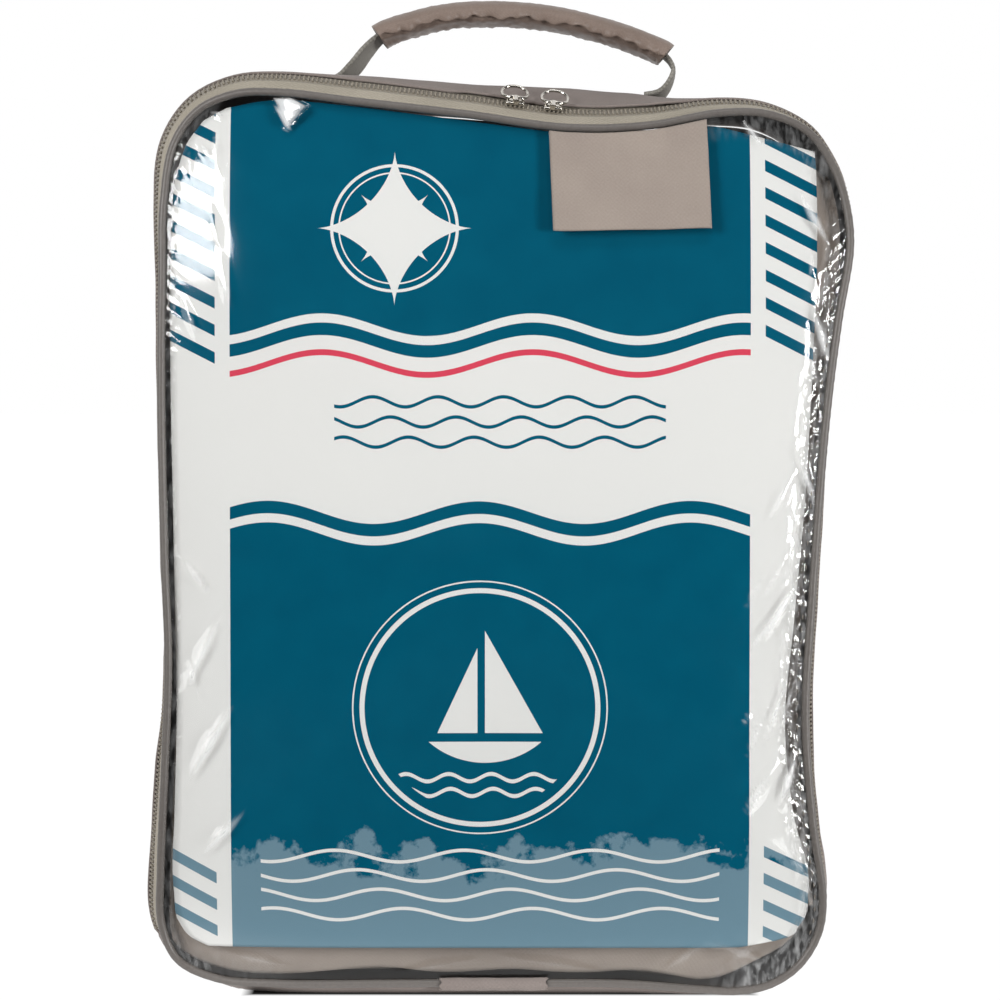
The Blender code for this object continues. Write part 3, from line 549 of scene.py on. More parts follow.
def build_gusset():
    """The strip round the bag, with its folds, its hem beside the zip and its roll into the back seam."""
    line = seam_line(3.0)
    foot = np.where(line.x > 0, ZIP_RIGHT_FOOT_Z, ZIP_LEFT_FOOT_Z)
    zipped = np.clip((line.z - foot) / ZIP_FOOT_BLEND + 1.0, 0.0, 1.0)
    start = SEAM_START + (GUSSET_START - SEAM_START) * zipped
    full = full_depths(line)
    share = np.concatenate([
        np.linspace(0.0, 0.09, 6), np.linspace(0.12, 0.9, 27), np.linspace(0.925, 1.0, 6)
    ])
    depths = start[:, None] + (full - start)[:, None] * share[None, :]
    from_front, from_back = depths - start[:, None], full[:, None] - depths
    arc = np.broadcast_to(line.arc[:, None], depths.shape)
    off_base = np.clip((line.z[:, None] - BASE_FLAT_TO) / BASE_SOFT, 0.0, 1.0)
    free = near(depths, FREE_FROM, FREE_TO, FREE_SOFT) * off_base
    ring = line.arc / SEAM_LENGTH * 2 * math.pi
    wave = unrest(180 * np.cos(ring)[:, None] + depths, 180 * np.sin(ring)[:, None] - depths, 34.0, 3)
    fine = unrest(180 * np.cos(ring)[:, None] - depths, 180 * np.sin(ring)[:, None] + depths, 13.0, 4)
    top = np.clip((line.z[:, None] - TOP_FROM) / TOP_SOFT, 0.0, 1.0)
    lift = free * (1.0 - 0.6 * top) * (0.7 * wave + 0.18 * fine + creased(arc, depths, GUSSET_CREASES))
    gape = sum(near(line.x, *place) for place in GAPES)
    hem = HEM_STAND + HEM_GAPE * gape[:, None] * top
    lift += hem * np.exp(-((from_front / HEM_WIDTH) ** 2)) * zipped[:, None]
    lift -= BACK_ROLL * np.exp(-((from_back / BACK_ROLL_WIDTH) ** 2))
    points = side_points(line, depths, lift)
    points[-1] = points[0]
    flat = np.stack([depths, arc], axis=-1)
    made = laid_sheet("gusset_cloth", points, flat, BAG_CLOTH, 1.0)
    return stands_for(made, "bag_cloth", "gusset")


gusset = build_gusset()

# %% [markdown]
# ## The back panel
#
# The back is one piece of the same cloth, drawn a little outward by what is in the bag. It is laid ring by ring, from
# the seam to the middle, so that its rim follows the seam exactly. Shallow tension folds run in from the corners, and
# the last millimetres roll forward into the seam.

# %% The back panel
BACK_CREASES = (
    Crease(-128.0, 336.0, -62.0, 262.0, 11.0, 1.2, 0.1),
    Crease(-118.0, 350.0, -84.0, 292.0, 7.0, 0.9, 0.3),
    Crease(126.0, 338.0, 70.0, 250.0, 10.0, 1.2, 0.1),
    Crease(132.0, 300.0, 92.0, 262.0, 7.0, 0.8, 0.3),
    Crease(-130.0, 30.0, -72.0, 96.0, 11.0, 1.3, 0.1),
    Crease(-104.0, 14.0, -66.0, 62.0, 7.0, 0.9, 0.3),
    Crease(122.0, 22.0, 66.0, 90.0, 11.0, 1.2, 0.1),
    Crease(124.0, 60.0, 88.0, 108.0, 7.0, 0.8, 0.3),
    Crease(-120.0, 190.0, 30.0, 172.0, 12.0, 0.7, 0.0),
    Crease(10.0, 232.0, 124.0, 218.0, 12.0, 0.7, 0.0),
)
BACK_SETBACK = 2.2
LOWEST_RIM = 2.0
RIM_FLAT, RIM_ROLL, RIM_ROLL_SHARE = 0.12, 1.1, 0.009     # shares of the way in, and the roll's height


def panel_places(line, rings, standout):
    """X and z of a panel's points: a row for each station of its rim, a column for each ring."""
    rim_x = line.x + line.out_x * standout
    rim_z = np.maximum(line.z + line.out_z * standout, LOWEST_RIM)
    x = rim_x[:, None] * rings[None, :]
    z = BODY_MIDDLE_Z + (rim_z[:, None] - BODY_MIDDLE_Z) * rings[None, :]
    return x, z


def build_back():
    """The back panel, from its rim to its middle, so that it faces back."""
    line = seam_line(4.0)
    rings = np.concatenate([[1.0, 0.992, 0.984, 0.975], np.linspace(0.96, 0.04, 30), [0.0]])
    x, z = panel_places(line, rings, line.back - BACK_SETBACK)
    ring = np.broadcast_to(rings[None, :], x.shape)
    crown = BACK_CROWN * (1.0 - ring**BACK_FLATNESS)
    folds = creased(x, z, BACK_CREASES) + 0.5 * unrest(x, z, 55.0, 11) + 0.12 * unrest(x, z, 17.0, 12)
    folds *= np.clip((1.0 - ring) / RIM_FLAT, 0.0, 1.0)
    roll = RIM_ROLL * np.exp(-(((1.0 - ring) / RIM_ROLL_SHARE) ** 2))
    points = np.stack([x, back_plane(z) + crown + folds - roll, z], axis=-1)
    made = laid_sheet("back_cloth", points, np.stack([x, z], axis=-1), BAG_CLOTH, 1.0)
    return stands_for(made, "bag_cloth", "back_panel")


back = build_back()

# %% [markdown]
# ## The boat cover, folded back and forth
#
# The cover is one sheet. It climbs the bag's height, turns over in a round fold and comes down again, twelve times
# from front to back. Folding by simulation would take minutes and end in a different heap each time, so the section
# is a formula: straight runs joined by half circles, with folds that stop at slightly different heights. Each run
# then gets its own shallow waves. The front run shows beside and below the card, so it also has real creases, and
# its free edge hangs a little past the folds behind it.

# %% The folded cover
LAYERS = 12
LAYER_THICKNESS = 2.4
PACK_MARGIN = 3.6
PACK_FOOT = 2.0
PACK_FRONT = 5.9
PACK_BACK = 4.0
FOLD_HEIGHT = 3.9
FOLD_RAGGED = 3.0
FOLD_WAVE = 2.4
FOLD_STEPS = 8
RUN_STEPS = 26
PACK_END = 152.0
PACK_SIDE = 60.0
ACROSS_STEPS = 56
FRONT_LAYER_TO = 0.6     # a run's place among the layers: the first lies at a half
DROP_FADES_BY = 0.12     # share of the height at which the front layer's drop has faded out

COVER_CREASES = (
    Crease(-118.0, 16.0, -40.0, 19.0, 3.5, 1.2, 0.9),
    Crease(-84.0, 10.0, -56.0, 14.0, 3.0, -2.4, 0.9),
    Crease(-58.0, 10.0, -20.0, 15.0, 3.5, -2.2, 0.9),
    Crease(-16.0, 15.0, 40.0, 12.0, 4.0, -2.0, 0.8),
    Crease(30.0, 11.0, 62.0, 15.0, 3.0, 1.4, 0.9),
    Crease(46.0, 11.5, 76.0, 18.0, 3.5, -2.8, 0.9),
    Crease(66.0, 19.0, 92.0, 10.0, 3.5, -2.6, 0.9),
    Crease(86.0, 10.0, 100.0, 25.0, 3.0, 1.8, 1.0),
    Crease(98.0, 24.0, 116.0, 11.0, 3.5, -2.4, 0.9),
    Crease(120.0, 250.0, 133.0, 330.0, 3.5, 1.4, 0.5),
    Crease(112.0, 340.0, 130.0, 318.0, 3.5, 1.2, 0.6),
    Crease(122.0, 70.0, 119.0, 150.0, 3.0, -1.2, 0.5),
)

FootGap = namedtuple("FootGap", "x width rise")
FOOT_DROP = 6.4     # how far the front layer's free edge hangs past the folds behind it
FOOT_GAPS = (       # and where it is drawn up again
    FootGap(-52.0, 20.0, 2.6),
    FootGap(4.0, 16.0, 1.6),
    FootGap(60.0, 18.0, 2.8),
    FootGap(104.0, 16.0, 3.4),
)


def foot_drop(x):
    """How far the front layer's lower edge hangs down at a place across the bag."""
    drawn_up = sum(gap.rise * np.exp(-(((x - gap.x) / gap.width) ** 2)) for gap in FOOT_GAPS)
    return FOOT_DROP - drawn_up


def pack_section():
    """The pack's section: share of the depth, share of the height, and rise past that height."""
    ragged = [FOLD_RAGGED * (0.5 + 0.5 * math.sin(FOLD_WAVE * fold)) for fold in range(LAYERS + 1)]
    rows = []
    for layer in range(LAYERS):
        upward = layer % 2 == 0
        before, after = ragged[layer], ragged[layer + 1]
        low, high = (before, after) if upward else (after, before)
        heights = 0.5 - 0.5 * np.cos(np.linspace(0.0, math.pi, RUN_STEPS))
        for height in heights if upward else heights[::-1]:
            rows.append(((layer + 0.5) / LAYERS, height, low * (1 - height) - high * height))
        if layer == LAYERS - 1:
            break
        for step in range(1, FOLD_STEPS):
            turn = math.pi * step / FOLD_STEPS
            rise = (1 if upward else -1) * (FOLD_HEIGHT * math.sin(turn) - after)
            rows.append(((layer + 1.0 - 0.5 * math.cos(turn)) / LAYERS, float(upward), rise))
    return np.array(rows)


def seam_side(z, sign):
    """X of the front seam's left (-1) or right (+1) side at a height."""
    keep = SEAM.x * sign > PACK_SIDE
    order = np.argsort(SEAM.z[keep])
    return np.interp(z, SEAM.z[keep][order], SEAM.x[keep][order])


def seam_end(x, sign):
    """Z of the front seam's foot (-1) or head (+1) at a place along it."""
    keep = (SEAM.z - BODY_MIDDLE_Z) * sign > PACK_END
    order = np.argsort(SEAM.x[keep])
    return np.interp(x, SEAM.x[keep][order], SEAM.z[keep][order])


def build_cover():
    """The cover's one sheet, folded from the front of the bag to its back."""
    share, height, rise = pack_section().T[:, None, :]
    across = (0.5 - 0.5 * np.cos(np.linspace(0.0, math.pi, ACROSS_STEPS)))[:, None]
    level = (HALF_WIDTH - PACK_MARGIN) * (2.0 * across - 1.0)
    bend = FOLD_HEIGHT + LAYER_THICKNESS / 2 + 0.4
    low = seam_end(level, -1) + PACK_FOOT + bend
    high = seam_end(level, 1) - PACK_MARGIN - 1.0 - bend
    z = low + (high - low) * height + rise
    left, right = seam_side(z, -1) + PACK_MARGIN, seam_side(z, 1) - PACK_MARGIN
    x = left + (right - left) * across
    front_layer = share * LAYERS < FRONT_LAYER_TO
    z = z - front_layer * foot_drop(x) * np.clip(1.0 - height / DROP_FADES_BY, 0.0, 1.0)
    front = film_y(x, z) + PACK_FRONT
    back_crown = BACK_CROWN * (1.0 - reach(x, z) ** BACK_FLATNESS)
    depth = back_plane(z) + back_crown - PACK_BACK - front
    layer = np.broadcast_to(share * LAYERS, x.shape)
    waves = 0.7 * unrest(x + 40 * layer, z - 25 * layer, 48.0, 21) + 0.25 * unrest(x - 9 * layer, z, 14.0, 22)
    first = np.clip(1.2 - layer, 0.0, 1.0)
    y = front + depth * share + waves - first * creased(x, z, COVER_CREASES) + 0.6 * first
    points = np.stack([x, y, z], axis=-1)
    made = laid_sheet("folded_cover_cloth", points, flat_places(points), COVER_CLOTH, LAYER_THICKNESS, 0.0)
    return stands_for(made, "cover_cloth", "folded_cover"), points


cover, cover_points = build_cover()

# %% [markdown]
# ## The printed card
#
# The card is white coated board. Its print here is a plain seaside design: petrol blue fields with wavy edges, a
# compass star, a sail in a ring and slanted bars, with one thin red line. The motifs are worked out from the card's
# own x and z, in millimetres, with masks that are 1 inside a shape and 0 outside, so the print's edges stay sharp at
# any distance. It could be an image, but a formula needs no file and can be changed by a number.

# %% The print's motifs
def within(tree, value, low, high):
    """Mask: the value lies between low and high."""
    above = add_node(tree, "Math", value, low, operation="GREATER_THAN")
    below = add_node(tree, "Math", value, high, operation="LESS_THAN")
    return add_node(tree, "Math", above, below, operation="MULTIPLY")


def joined(tree, masks, operation):
    """Several masks as one: MULTIPLY keeps what all share, MAXIMUM what any covers."""
    total = masks[0]
    for mask in masks[1:]:
        total = add_node(tree, "Math", total, mask, operation=operation)
    return total


def over_wave(tree, x, z, level, swing, length, phase):
    """How far a point lies over a wavy line."""
    turn = add_node(tree, "Math", x, 2 * math.pi / length, phase, operation="MULTIPLY_ADD")
    line = add_node(tree, "Math", add_node(tree, "Math", turn, operation="SINE"), swing, level,
                    operation="MULTIPLY_ADD")
    return add_node(tree, "Math", z, line, operation="SUBTRACT")


def from_point(tree, place, x, z):
    """Distance from a point of the card."""
    return add_node(tree, "VectorMath", place, (x, 0.0, z), operation="DISTANCE").node.outputs["Value"]


STAR_HOLLOW = 0.62     # 1 would make a plain square, standing on its point


def star(tree, x, z, centre, size, turned):
    """A star with four hollow-sided points; turned by 45 degrees for the points between."""
    dx = add_node(tree, "Math", x, centre[0], operation="SUBTRACT")
    dz = add_node(tree, "Math", z, centre[1], operation="SUBTRACT")
    if turned:
        dx, dz = [add_node(tree, "Math", dx, dz, operation=way) for way in ("ADD", "SUBTRACT")]
        size = size * math.sqrt(2.0)
    lengths = [add_node(tree, "Math", d, operation="ABSOLUTE") for d in (dx, dz)]
    arms = [add_node(tree, "Math", length, STAR_HOLLOW, operation="POWER") for length in lengths]
    total = add_node(tree, "Math", *arms, operation="ADD")
    return add_node(tree, "Math", total, size**STAR_HOLLOW, operation="LESS_THAN")


def sail(tree, place, corners):
    """A triangle with its corners given anticlockwise."""
    sides = []
    for (ax, az), (bx, bz) in zip(corners, corners[1:] + corners[:1]):
        inward = (-(bz - az), 0.0, bx - ax)
        past = add_node(tree, "VectorMath", place, inward, operation="DOT_PRODUCT").node.outputs["Value"]
        limit = inward[0] * ax + inward[2] * az
        sides.append(add_node(tree, "Math", past, limit, operation="GREATER_THAN"))
    return joined(tree, sides, "MULTIPLY")


# %% The printed board
WHITE, RED = "#E7E5E2", "#D9475C"
# the last blue is painted reflection haze: how the ink looks where the film stands off the card
DEEP_BLUE, BRIGHT_BLUE, PAINTED_HAZE_BLUE = "#015069", "#045C75", "#6E8C9B"
UPPER_EDGE, LOWER_EDGE = 262.0, 196.0
EDGE_SWING, EDGE_LENGTH = 4.5, 84.0
FIELD_LEFT, FIELD_RIGHT = -108.0, 100.0
EDGE_LINE = (5.0, 8.6)         # from a field's edge inwards
RED_LINE = (-8.0, -5.6)        # from the upper field's edge
THIN_WAVE = (-0.7, 0.7)
COMPASS = (-42.0, 309.0)
SAIL_RING = (-8.0, 118.0)


def blue_fields(tree, x, z):
    """The two blue fields: their insides, and the thin white lines inside their wavy edges."""
    sides = within(tree, x, FIELD_LEFT, FIELD_RIGHT)
    upper = over_wave(tree, x, z, UPPER_EDGE, EDGE_SWING, EDGE_LENGTH, 0.6)
    lower = over_wave(tree, x, z, LOWER_EDGE, EDGE_SWING, EDGE_LENGTH, 2.2)
    fields = joined(tree, [
        add_node(tree, "Math", upper, 0.0, operation="GREATER_THAN"),
        add_node(tree, "Math", lower, 0.0, operation="LESS_THAN"),
    ], "MAXIMUM")
    near_edge, far_edge = EDGE_LINE
    lines = joined(tree, [
        within(tree, upper, near_edge, far_edge), within(tree, lower, -far_edge, -near_edge)
    ], "MAXIMUM")
    red = within(tree, upper, *RED_LINE)
    blue = add_node(tree, "Math", fields, sides, operation="MULTIPLY")
    return blue, lines, add_node(tree, "Math", red, sides, operation="MULTIPLY")


def middle_waves(tree, x, z):
    """The small waves in the white band between the fields."""
    rows = []
    for level in (224.0, 232.0, 240.0):
        off = over_wave(tree, x, z, level, 2.0, 26.0, level)
        rows.append(within(tree, off, *THIN_WAVE))
    return joined(tree, [joined(tree, rows, "MAXIMUM"), within(tree, x, -66.0, 66.0)], "MULTIPLY")


BAR_PITCH, BAR_WIDTH, BAR_LEAN = 11.0, 4.6, 0.5
BarColumn = namedtuple("BarColumn", "left right foot_end head_start")
BAR_COLUMNS = (
    BarColumn(-200.0, FIELD_LEFT - 6.0, 0.0, 18 * BAR_PITCH),
    BarColumn(FIELD_RIGHT + 6.0, 200.0, 11 * BAR_PITCH, 29 * BAR_PITCH),
)


def margin_bars(tree, x, z):
    """Slanted bars beside the fields, at the card's top and foot; each column ends with a whole bar."""
    lean = add_node(tree, "Math", x, BAR_LEAN, z, operation="MULTIPLY_ADD")
    into_bar = add_node(tree, "Math", lean, BAR_PITCH, operation="FLOORED_MODULO")
    bars = add_node(tree, "Math", into_bar, BAR_WIDTH, operation="LESS_THAN")
    columns = []
    for column in BAR_COLUMNS:
        ends = joined(tree, [
            within(tree, lean, -100.0, column.foot_end), within(tree, lean, column.head_start, 600.0)
        ], "MAXIMUM")
        columns.append(joined(tree, [within(tree, x, column.left, column.right), ends], "MULTIPLY"))
    return joined(tree, [bars, joined(tree, columns, "MAXIMUM")], "MULTIPLY")


def compass_rose(tree, place, x, z):
    """A compass star in two thin rings."""
    out = from_point(tree, place, *COMPASS)
    return joined(tree, [
        star(tree, x, z, COMPASS, 31.0, False),
        star(tree, x, z, COMPASS, 19.0, True),
        within(tree, out, 24.4, 25.6),
        within(tree, out, 21.8, 22.4),
    ], "MAXIMUM")


def sail_badge(tree, place, x, z):
    """A sailing dinghy over two waves, in a ring."""
    cx, cz = SAIL_RING
    out = from_point(tree, place, cx, cz)
    main = sail(tree, place, ((cx + 2.0, cz - 10.0), (cx + 25.0, cz - 10.0), (cx + 2.0, cz + 31.0)))
    jib = sail(tree, place, ((cx - 17.0, cz - 10.0), (cx - 1.0, cz - 10.0), (cx - 1.0, cz + 24.0)))
    from_deck = from_point(tree, place, cx + 2.0, cz + 12.0)
    hull_ball = add_node(tree, "Math", from_deck, 34.0, operation="LESS_THAN")
    hull = joined(tree, [hull_ball, within(tree, z, cz - 22.0, cz - 13.5)], "MULTIPLY")
    waves = [
        within(tree, over_wave(tree, x, z, cz - level, 1.5, 17.0, level), -0.8, 0.8) for level in (28.0, 34.0)
    ]
    sea = joined(tree, [joined(tree, waves, "MAXIMUM"),
                        add_node(tree, "Math", out, 42.0, operation="LESS_THAN")], "MULTIPLY")
    rings = joined(tree, [within(tree, out, 46.0, 48.0), within(tree, out, 50.4, 51.0)], "MAXIMUM")
    return joined(tree, [main, jib, hull, sea, rings], "MAXIMUM")


def foot_waves(tree, x, z):
    """Rows of long waves in the lower field, under the badge."""
    rows = []
    for k in range(4):
        off = over_wave(tree, x, z, 34.0 + 8.0 * k, 2.4, 52.0, 1.1 * k)
        rows.append(within(tree, off, *THIN_WAVE))
    return joined(tree, [joined(tree, rows, "MAXIMUM"), within(tree, x, -96.0, 88.0)], "MULTIPLY")


BLOTCH_REACH = 70.0           # how far the border wanders, in millimetres over the noise's whole range
# where the ink fades from its own blue into the painted reflection haze
PAINTED_HAZE_BORDER = (26.5, 22.5)


def painted_haze_foot(tree, here, z):
    """Painted reflection: below a blotchy border the ink is paler, where the film no longer clings to the card."""
    blotch = add_node(tree, "TexNoise", here, named={"Scale": 48.0, "Detail": 6.0, "Roughness": 0.6})
    border = add_node(tree, "Math", blotch, -BLOTCH_REACH, z, operation="MULTIPLY_ADD")
    return add_node(tree, "MapRange", border, *PAINTED_HAZE_BORDER, 0.0, 1.0)


def printed_board():
    """Coated white board with its print. The film that clings to it carries all the gloss, so it has none."""
    made, tree = new_material("coated_board_printed")
    here = add_node(tree, "TexCoord").node.outputs["Object"]
    place = add_node(tree, "VectorMath", here, (1 / MM, 0.0, 1 / MM), operation="MULTIPLY")
    x, _, z = add_node(tree, "SeparateXYZ", place).node.outputs
    blue, lines, red = blue_fields(tree, x, z)
    white = joined(tree, [
        lines, compass_rose(tree, place, x, z), sail_badge(tree, place, x, z), foot_waves(tree, x, z)
    ], "MAXIMUM")
    inked = joined(tree, [
        add_node(tree, "Math", blue, white, operation="GREATER_THAN"),
        middle_waves(tree, x, z), margin_bars(tree, x, z),
    ], "MAXIMUM")
    cloudy = add_node(tree, "TexNoise", here, named={"Scale": 60.0, "Detail": 3.0})
    deep = add_node(tree, "Mix", cloudy, named={6: linear(DEEP_BLUE), 7: linear(BRIGHT_BLUE)},
                    data_type="RGBA").node.outputs[2]
    # Below the blotchy border the ink takes the painted reflection haze.
    ink = add_node(tree, "Mix", painted_haze_foot(tree, here, z), named={6: deep, 7: linear(PAINTED_HAZE_BLUE)},
                   data_type="RGBA").node.outputs[2]
    based = add_node(tree, "Mix", inked, named={6: linear(WHITE), 7: ink}, data_type="RGBA").node.outputs[2]
    colour = add_node(tree, "Mix", red, named={6: based, 7: linear(RED)}, data_type="RGBA").node.outputs[2]
    shader = add_node(tree, "BsdfPrincipled", named={"Base Color": colour, "Roughness": 0.6,
                                                      "Specular IOR Level": 0.0})
    add_node(tree, "OutputMaterial", shader)
    return made


# %% [markdown]
# The card's outline is two short tables: its left and right edge at each height, and its top edge, which follows the
# sagging seam. It is bent to the film's crown and lies just behind it, and like any thin board under film it is not
# quite flat.

# %% The card
CardRow = namedtuple("CardRow", "z left right")
CARD_ROWS = (
    CardRow(19.8, -118.0, 97.0),
    CardRow(22.5, -124.0, 113.5),
    CardRow(28.0, -129.2, 121.0),
    CardRow(42.0, -131.8, 124.6),
    CardRow(75.0, -131.2, 118.0),
    CardRow(110.0, -130.2, 114.6),
    CardRow(150.0, -130.6, 118.0),
    CardRow(200.0, -131.4, 122.4),
    CardRow(250.0, -132.2, 125.2),
    CardRow(300.0, -132.0, 127.0),
    CardRow(328.0, -129.4, 127.0),
    CardRow(338.0, -125.2, 126.8),
    CardRow(345.0, -119.0, 126.4),
)
CardTop = namedtuple("CardTop", "x z")
CARD_TOP_FROM = 300.0
CARD_TOP = (
    CardTop(-119.0, 352.6),
    CardTop(-110.0, 357.4),
    CardTop(-97.0, 360.0),
    CardTop(-86.0, 360.9),
    CardTop(-58.0, 358.0),
    CardTop(-15.0, 352.4),
    CardTop(28.0, 346.8),
    CardTop(60.0, 346.4),
    CardTop(84.0, 350.4),
    CardTop(90.0, 349.2),
    CardTop(126.4, 340.0),
)
CARD_BEHIND_FILM = 2.7


def card_height(x, level):
    """Height of the card at x, for a height in its table."""
    top = np.interp(x, *np.array(CARD_TOP).T)
    past = np.maximum(level - CARD_TOP_FROM, 0.0) / (CARD_ROWS[-1].z - CARD_TOP_FROM)
    return np.minimum(level, CARD_TOP_FROM) + past * (top - CARD_TOP_FROM)


def build_card():
    """The card, bent behind the film."""
    rows = np.array(CARD_ROWS)
    levels = np.concatenate([
        np.linspace(19.8, 28.0, 8), np.linspace(31.0, 328.0, 90), np.linspace(330.0, 345.0, 8)
    ])
    edges = smooth_curve(rows[:, 0], rows[:, 1:], levels)
    share = np.linspace(0.0, 1.0, 80)[None, :]
    x = edges[:, :1] + (edges[:, 1:] - edges[:, :1]) * share
    z = card_height(x, np.broadcast_to(levels[:, None], x.shape))
    wave = 0.25 * unrest(x, z, 60.0, 31)
    points = np.stack([x, film_y(x, z) + CARD_BEHIND_FILM + wave, z], axis=-1)
    made = laid_sheet("printed_card", points, np.stack([x, z], axis=-1), printed_board(), 0.6)
    return stands_for(made, "printed_card", "card")


build_card()

# %% [markdown]
# ## The clear window
#
# The window is soft clear PVC. Light passes straight through it, so glass with its bending would be wrong and slow: a
# transparent shader is mixed with a glossy one, by a share that is 2 % where the film is seen straight on and grows
# with the fifth power of the slant. That is the same from both sides, so light gets out as it got in. A Fresnel node
# would block slanted light from inside, because it takes the film for a solid. What makes it look like film is its
# shape: tents and troughs that catch the softboxes, small pleats along the stitched edge, five millimetres apart, and
# crumpled places by the seam. The finest crumples are relief in the material. The crumpled places also get a milky
# white veil, partly the film's own haze and partly painted reflection, and the crests of its sharp creases and a
# turned corner get a painted highlight. Two marks on the mesh, loose and stretched, say where.

# %% The film's material
FACING_SHINE, SLANTED_SHINE = 0.02, 0.5     # shares mirrored straight on, and added at the flattest slant
FILM_ROUGHNESS = 0.07
CRUMPLE_DEPTH = 0.5
CRUMPLE_DRAWN_OUT = (1.0, 1.0, 0.35)        # the crumples are longer upwards
# the white veil: the streak noise's span, and the share of white, part haze and part painted reflection
STREAKS_SHOWN, HAZE_AND_REFLECTION_SHARE = (0.42, 0.72), (0.01, 0.2)


def clear_film():
    """Thin clear PVC, glossy; crumpled and veiled where loose, painted highlight where marked stretched."""
    made, tree = new_material("soft_pvc_film")
    here = add_node(tree, "TexCoord").node.outputs["Object"]
    loose = add_node(tree, "Attribute", attribute_name="loose").node.outputs["Fac"]
    stretched = add_node(tree, "Attribute", attribute_name="stretched").node.outputs["Fac"]
    drawn_out = add_node(tree, "VectorMath", here, CRUMPLE_DRAWN_OUT, operation="MULTIPLY")
    ridges = add_node(tree, "TexNoise", drawn_out, noise_type="RIDGED_MULTIFRACTAL",
                      named={"Scale": 260.0, "Detail": 3.0, "Roughness": 0.45, "Distortion": 0.6})
    relief = add_node(tree, "Bump", named={
        "Height": add_node(tree, "Math", ridges, loose, operation="MULTIPLY"),
        "Strength": 1.0,
        "Distance": CRUMPLE_DEPTH * MM,
    })
    streaks = add_node(tree, "TexNoise", drawn_out, named={"Scale": 420.0, "Detail": 3.0, "Roughness": 0.6})
    # White veil: haze and painted reflection where loose, a painted highlight where marked stretched.
    haze_and_reflection = add_node(tree, "MapRange", streaks, *STREAKS_SHOWN, *HAZE_AND_REFLECTION_SHARE)
    veil_and_painted_glare = add_node(tree, "Math", haze_and_reflection, loose, stretched, operation="MULTIPLY_ADD", use_clamp=True)
    clear = add_node(tree, "BsdfTransparent", (0.985, 0.99, 0.99, 1.0))
    haze_and_painted_light = add_node(tree, "BsdfDiffuse", (0.95, 0.95, 0.95, 1.0))
    body = add_node(tree, "MixShader", veil_and_painted_glare, clear, haze_and_painted_light)
    shine = add_node(tree, "BsdfGlossy", (1.0, 1.0, 1.0, 1.0), FILM_ROUGHNESS, named={"Normal": relief})
    slant = add_node(tree, "LayerWeight", 0.5, relief).node.outputs["Facing"]
    steep = add_node(tree, "Math", slant, 5.0, operation="POWER")
    mirrored = add_node(tree, "Math", steep, SLANTED_SHINE, FACING_SHINE, operation="MULTIPLY_ADD")
    add_node(tree, "OutputMaterial", add_node(tree, "MixShader", mirrored, body, shine))
    return made


# %% The film's creases and its mesh
FILM_CREASES = (
    # the left margin, from the top down
    Crease(-117.0, 357.0, -110.0, 353.0, 2.2, 0.8, 1.0),
    Crease(-121.0, 346.0, -115.0, 335.0, 2.0, 0.8, 1.0),
    Crease(-125.5, 345.0, -123.5, 328.0, 1.6, 0.6, 1.0),
    Crease(-114.5, 354.0, -113.0, 330.0, 2.6, 0.7, 1.0),
    Crease(-117.0, 322.0, -112.0, 300.0, 3.0, 0.5, 0.8),
    Crease(-112.0, 300.0, -106.0, 268.0, 4.0, 0.7, 0.9),
    Crease(-127.0, 282.0, -120.0, 262.0, 3.0, 0.7, 0.9),
    Crease(-131.0, 182.0, -112.0, 158.0, 5.0, 0.7, 0.6),
    Crease(-129.0, 119.0, -109.0, 160.0, 4.5, 0.8, 0.7),
    Crease(-128.0, 82.0, -104.0, 124.0, 5.0, 0.9, 0.7),
    Crease(-124.0, 54.0, -98.0, 80.0, 5.0, 0.8, 0.6),
    Crease(-126.0, 140.0, -116.0, 104.0, 3.0, 0.5, 0.9),
    # the right margin: long streaks, from the foot up to the right
    Crease(104.8, 142.0, 121.0, 171.5, 2.4, 1.01, 1.0),
    Crease(96.0, 134.0, 116.0, 164.0, 3.4, 0.72, 0.9),
    Crease(100.0, 152.0, 118.0, 184.0, 2.6, 0.65, 0.9),
    Crease(94.0, 150.0, 108.0, 176.0, 3.0, 0.58, 0.9),
    Crease(103.6, 97.0, 117.0, 133.0, 2.2, 0.90, 1.0),
    Crease(110.0, 101.0, 120.4, 135.0, 1.8, 0.80, 1.0),
    Crease(96.0, 90.0, 108.0, 122.0, 3.0, 0.65, 0.8),
    Crease(111.6, 76.0, 120.0, 100.0, 3.2, 1.38, 1.0),
    Crease(96.0, 108.0, 100.4, 117.4, 1.8, 0.72, 1.0),
    Crease(94.0, 70.0, 112.0, 96.0, 4.0, 0.72, 0.6),
    Crease(104.0, 186.0, 119.0, 214.0, 3.2, 0.72, 0.8),
    Crease(122.6, 304.0, 126.4, 286.0, 1.7, 0.87, 1.0),
    Crease(96.4, 353.0, 105.6, 341.0, 2.2, 1.09, 1.0),
    Crease(118.0, 326.0, 133.0, 300.0, 3.4, 1.16, 0.9),
    Crease(124.0, 280.0, 134.0, 250.0, 3.4, 1.30, 0.9),
    Crease(118.0, 224.0, 129.0, 190.0, 3.0, 1.01, 0.8),
    # the foot
    Crease(-112.0, 18.0, -84.0, 12.0, 3.0, 0.9, 0.8),
    Crease(64.0, 9.0, 84.0, 24.0, 3.0, 1.1, 0.9),
    Crease(82.0, 24.0, 112.0, 12.0, 3.0, 1.1, 0.9),
    Crease(88.0, 10.0, 108.0, 26.0, 2.6, 0.9, 1.0),
    Crease(-46.0, 9.0, -8.0, 16.0, 3.0, 0.7, 0.8),
    Crease(0.0, 17.0, 44.0, 10.0, 3.0, 0.7, 0.8),
)
PLEAT_PITCH = 5.0
PLEAT_HEIGHT, RIGHT_PLEAT_HEIGHT = 0.12, 0.3
CRUMPLE, FINE_CRUMPLE = 0.30, 0.12

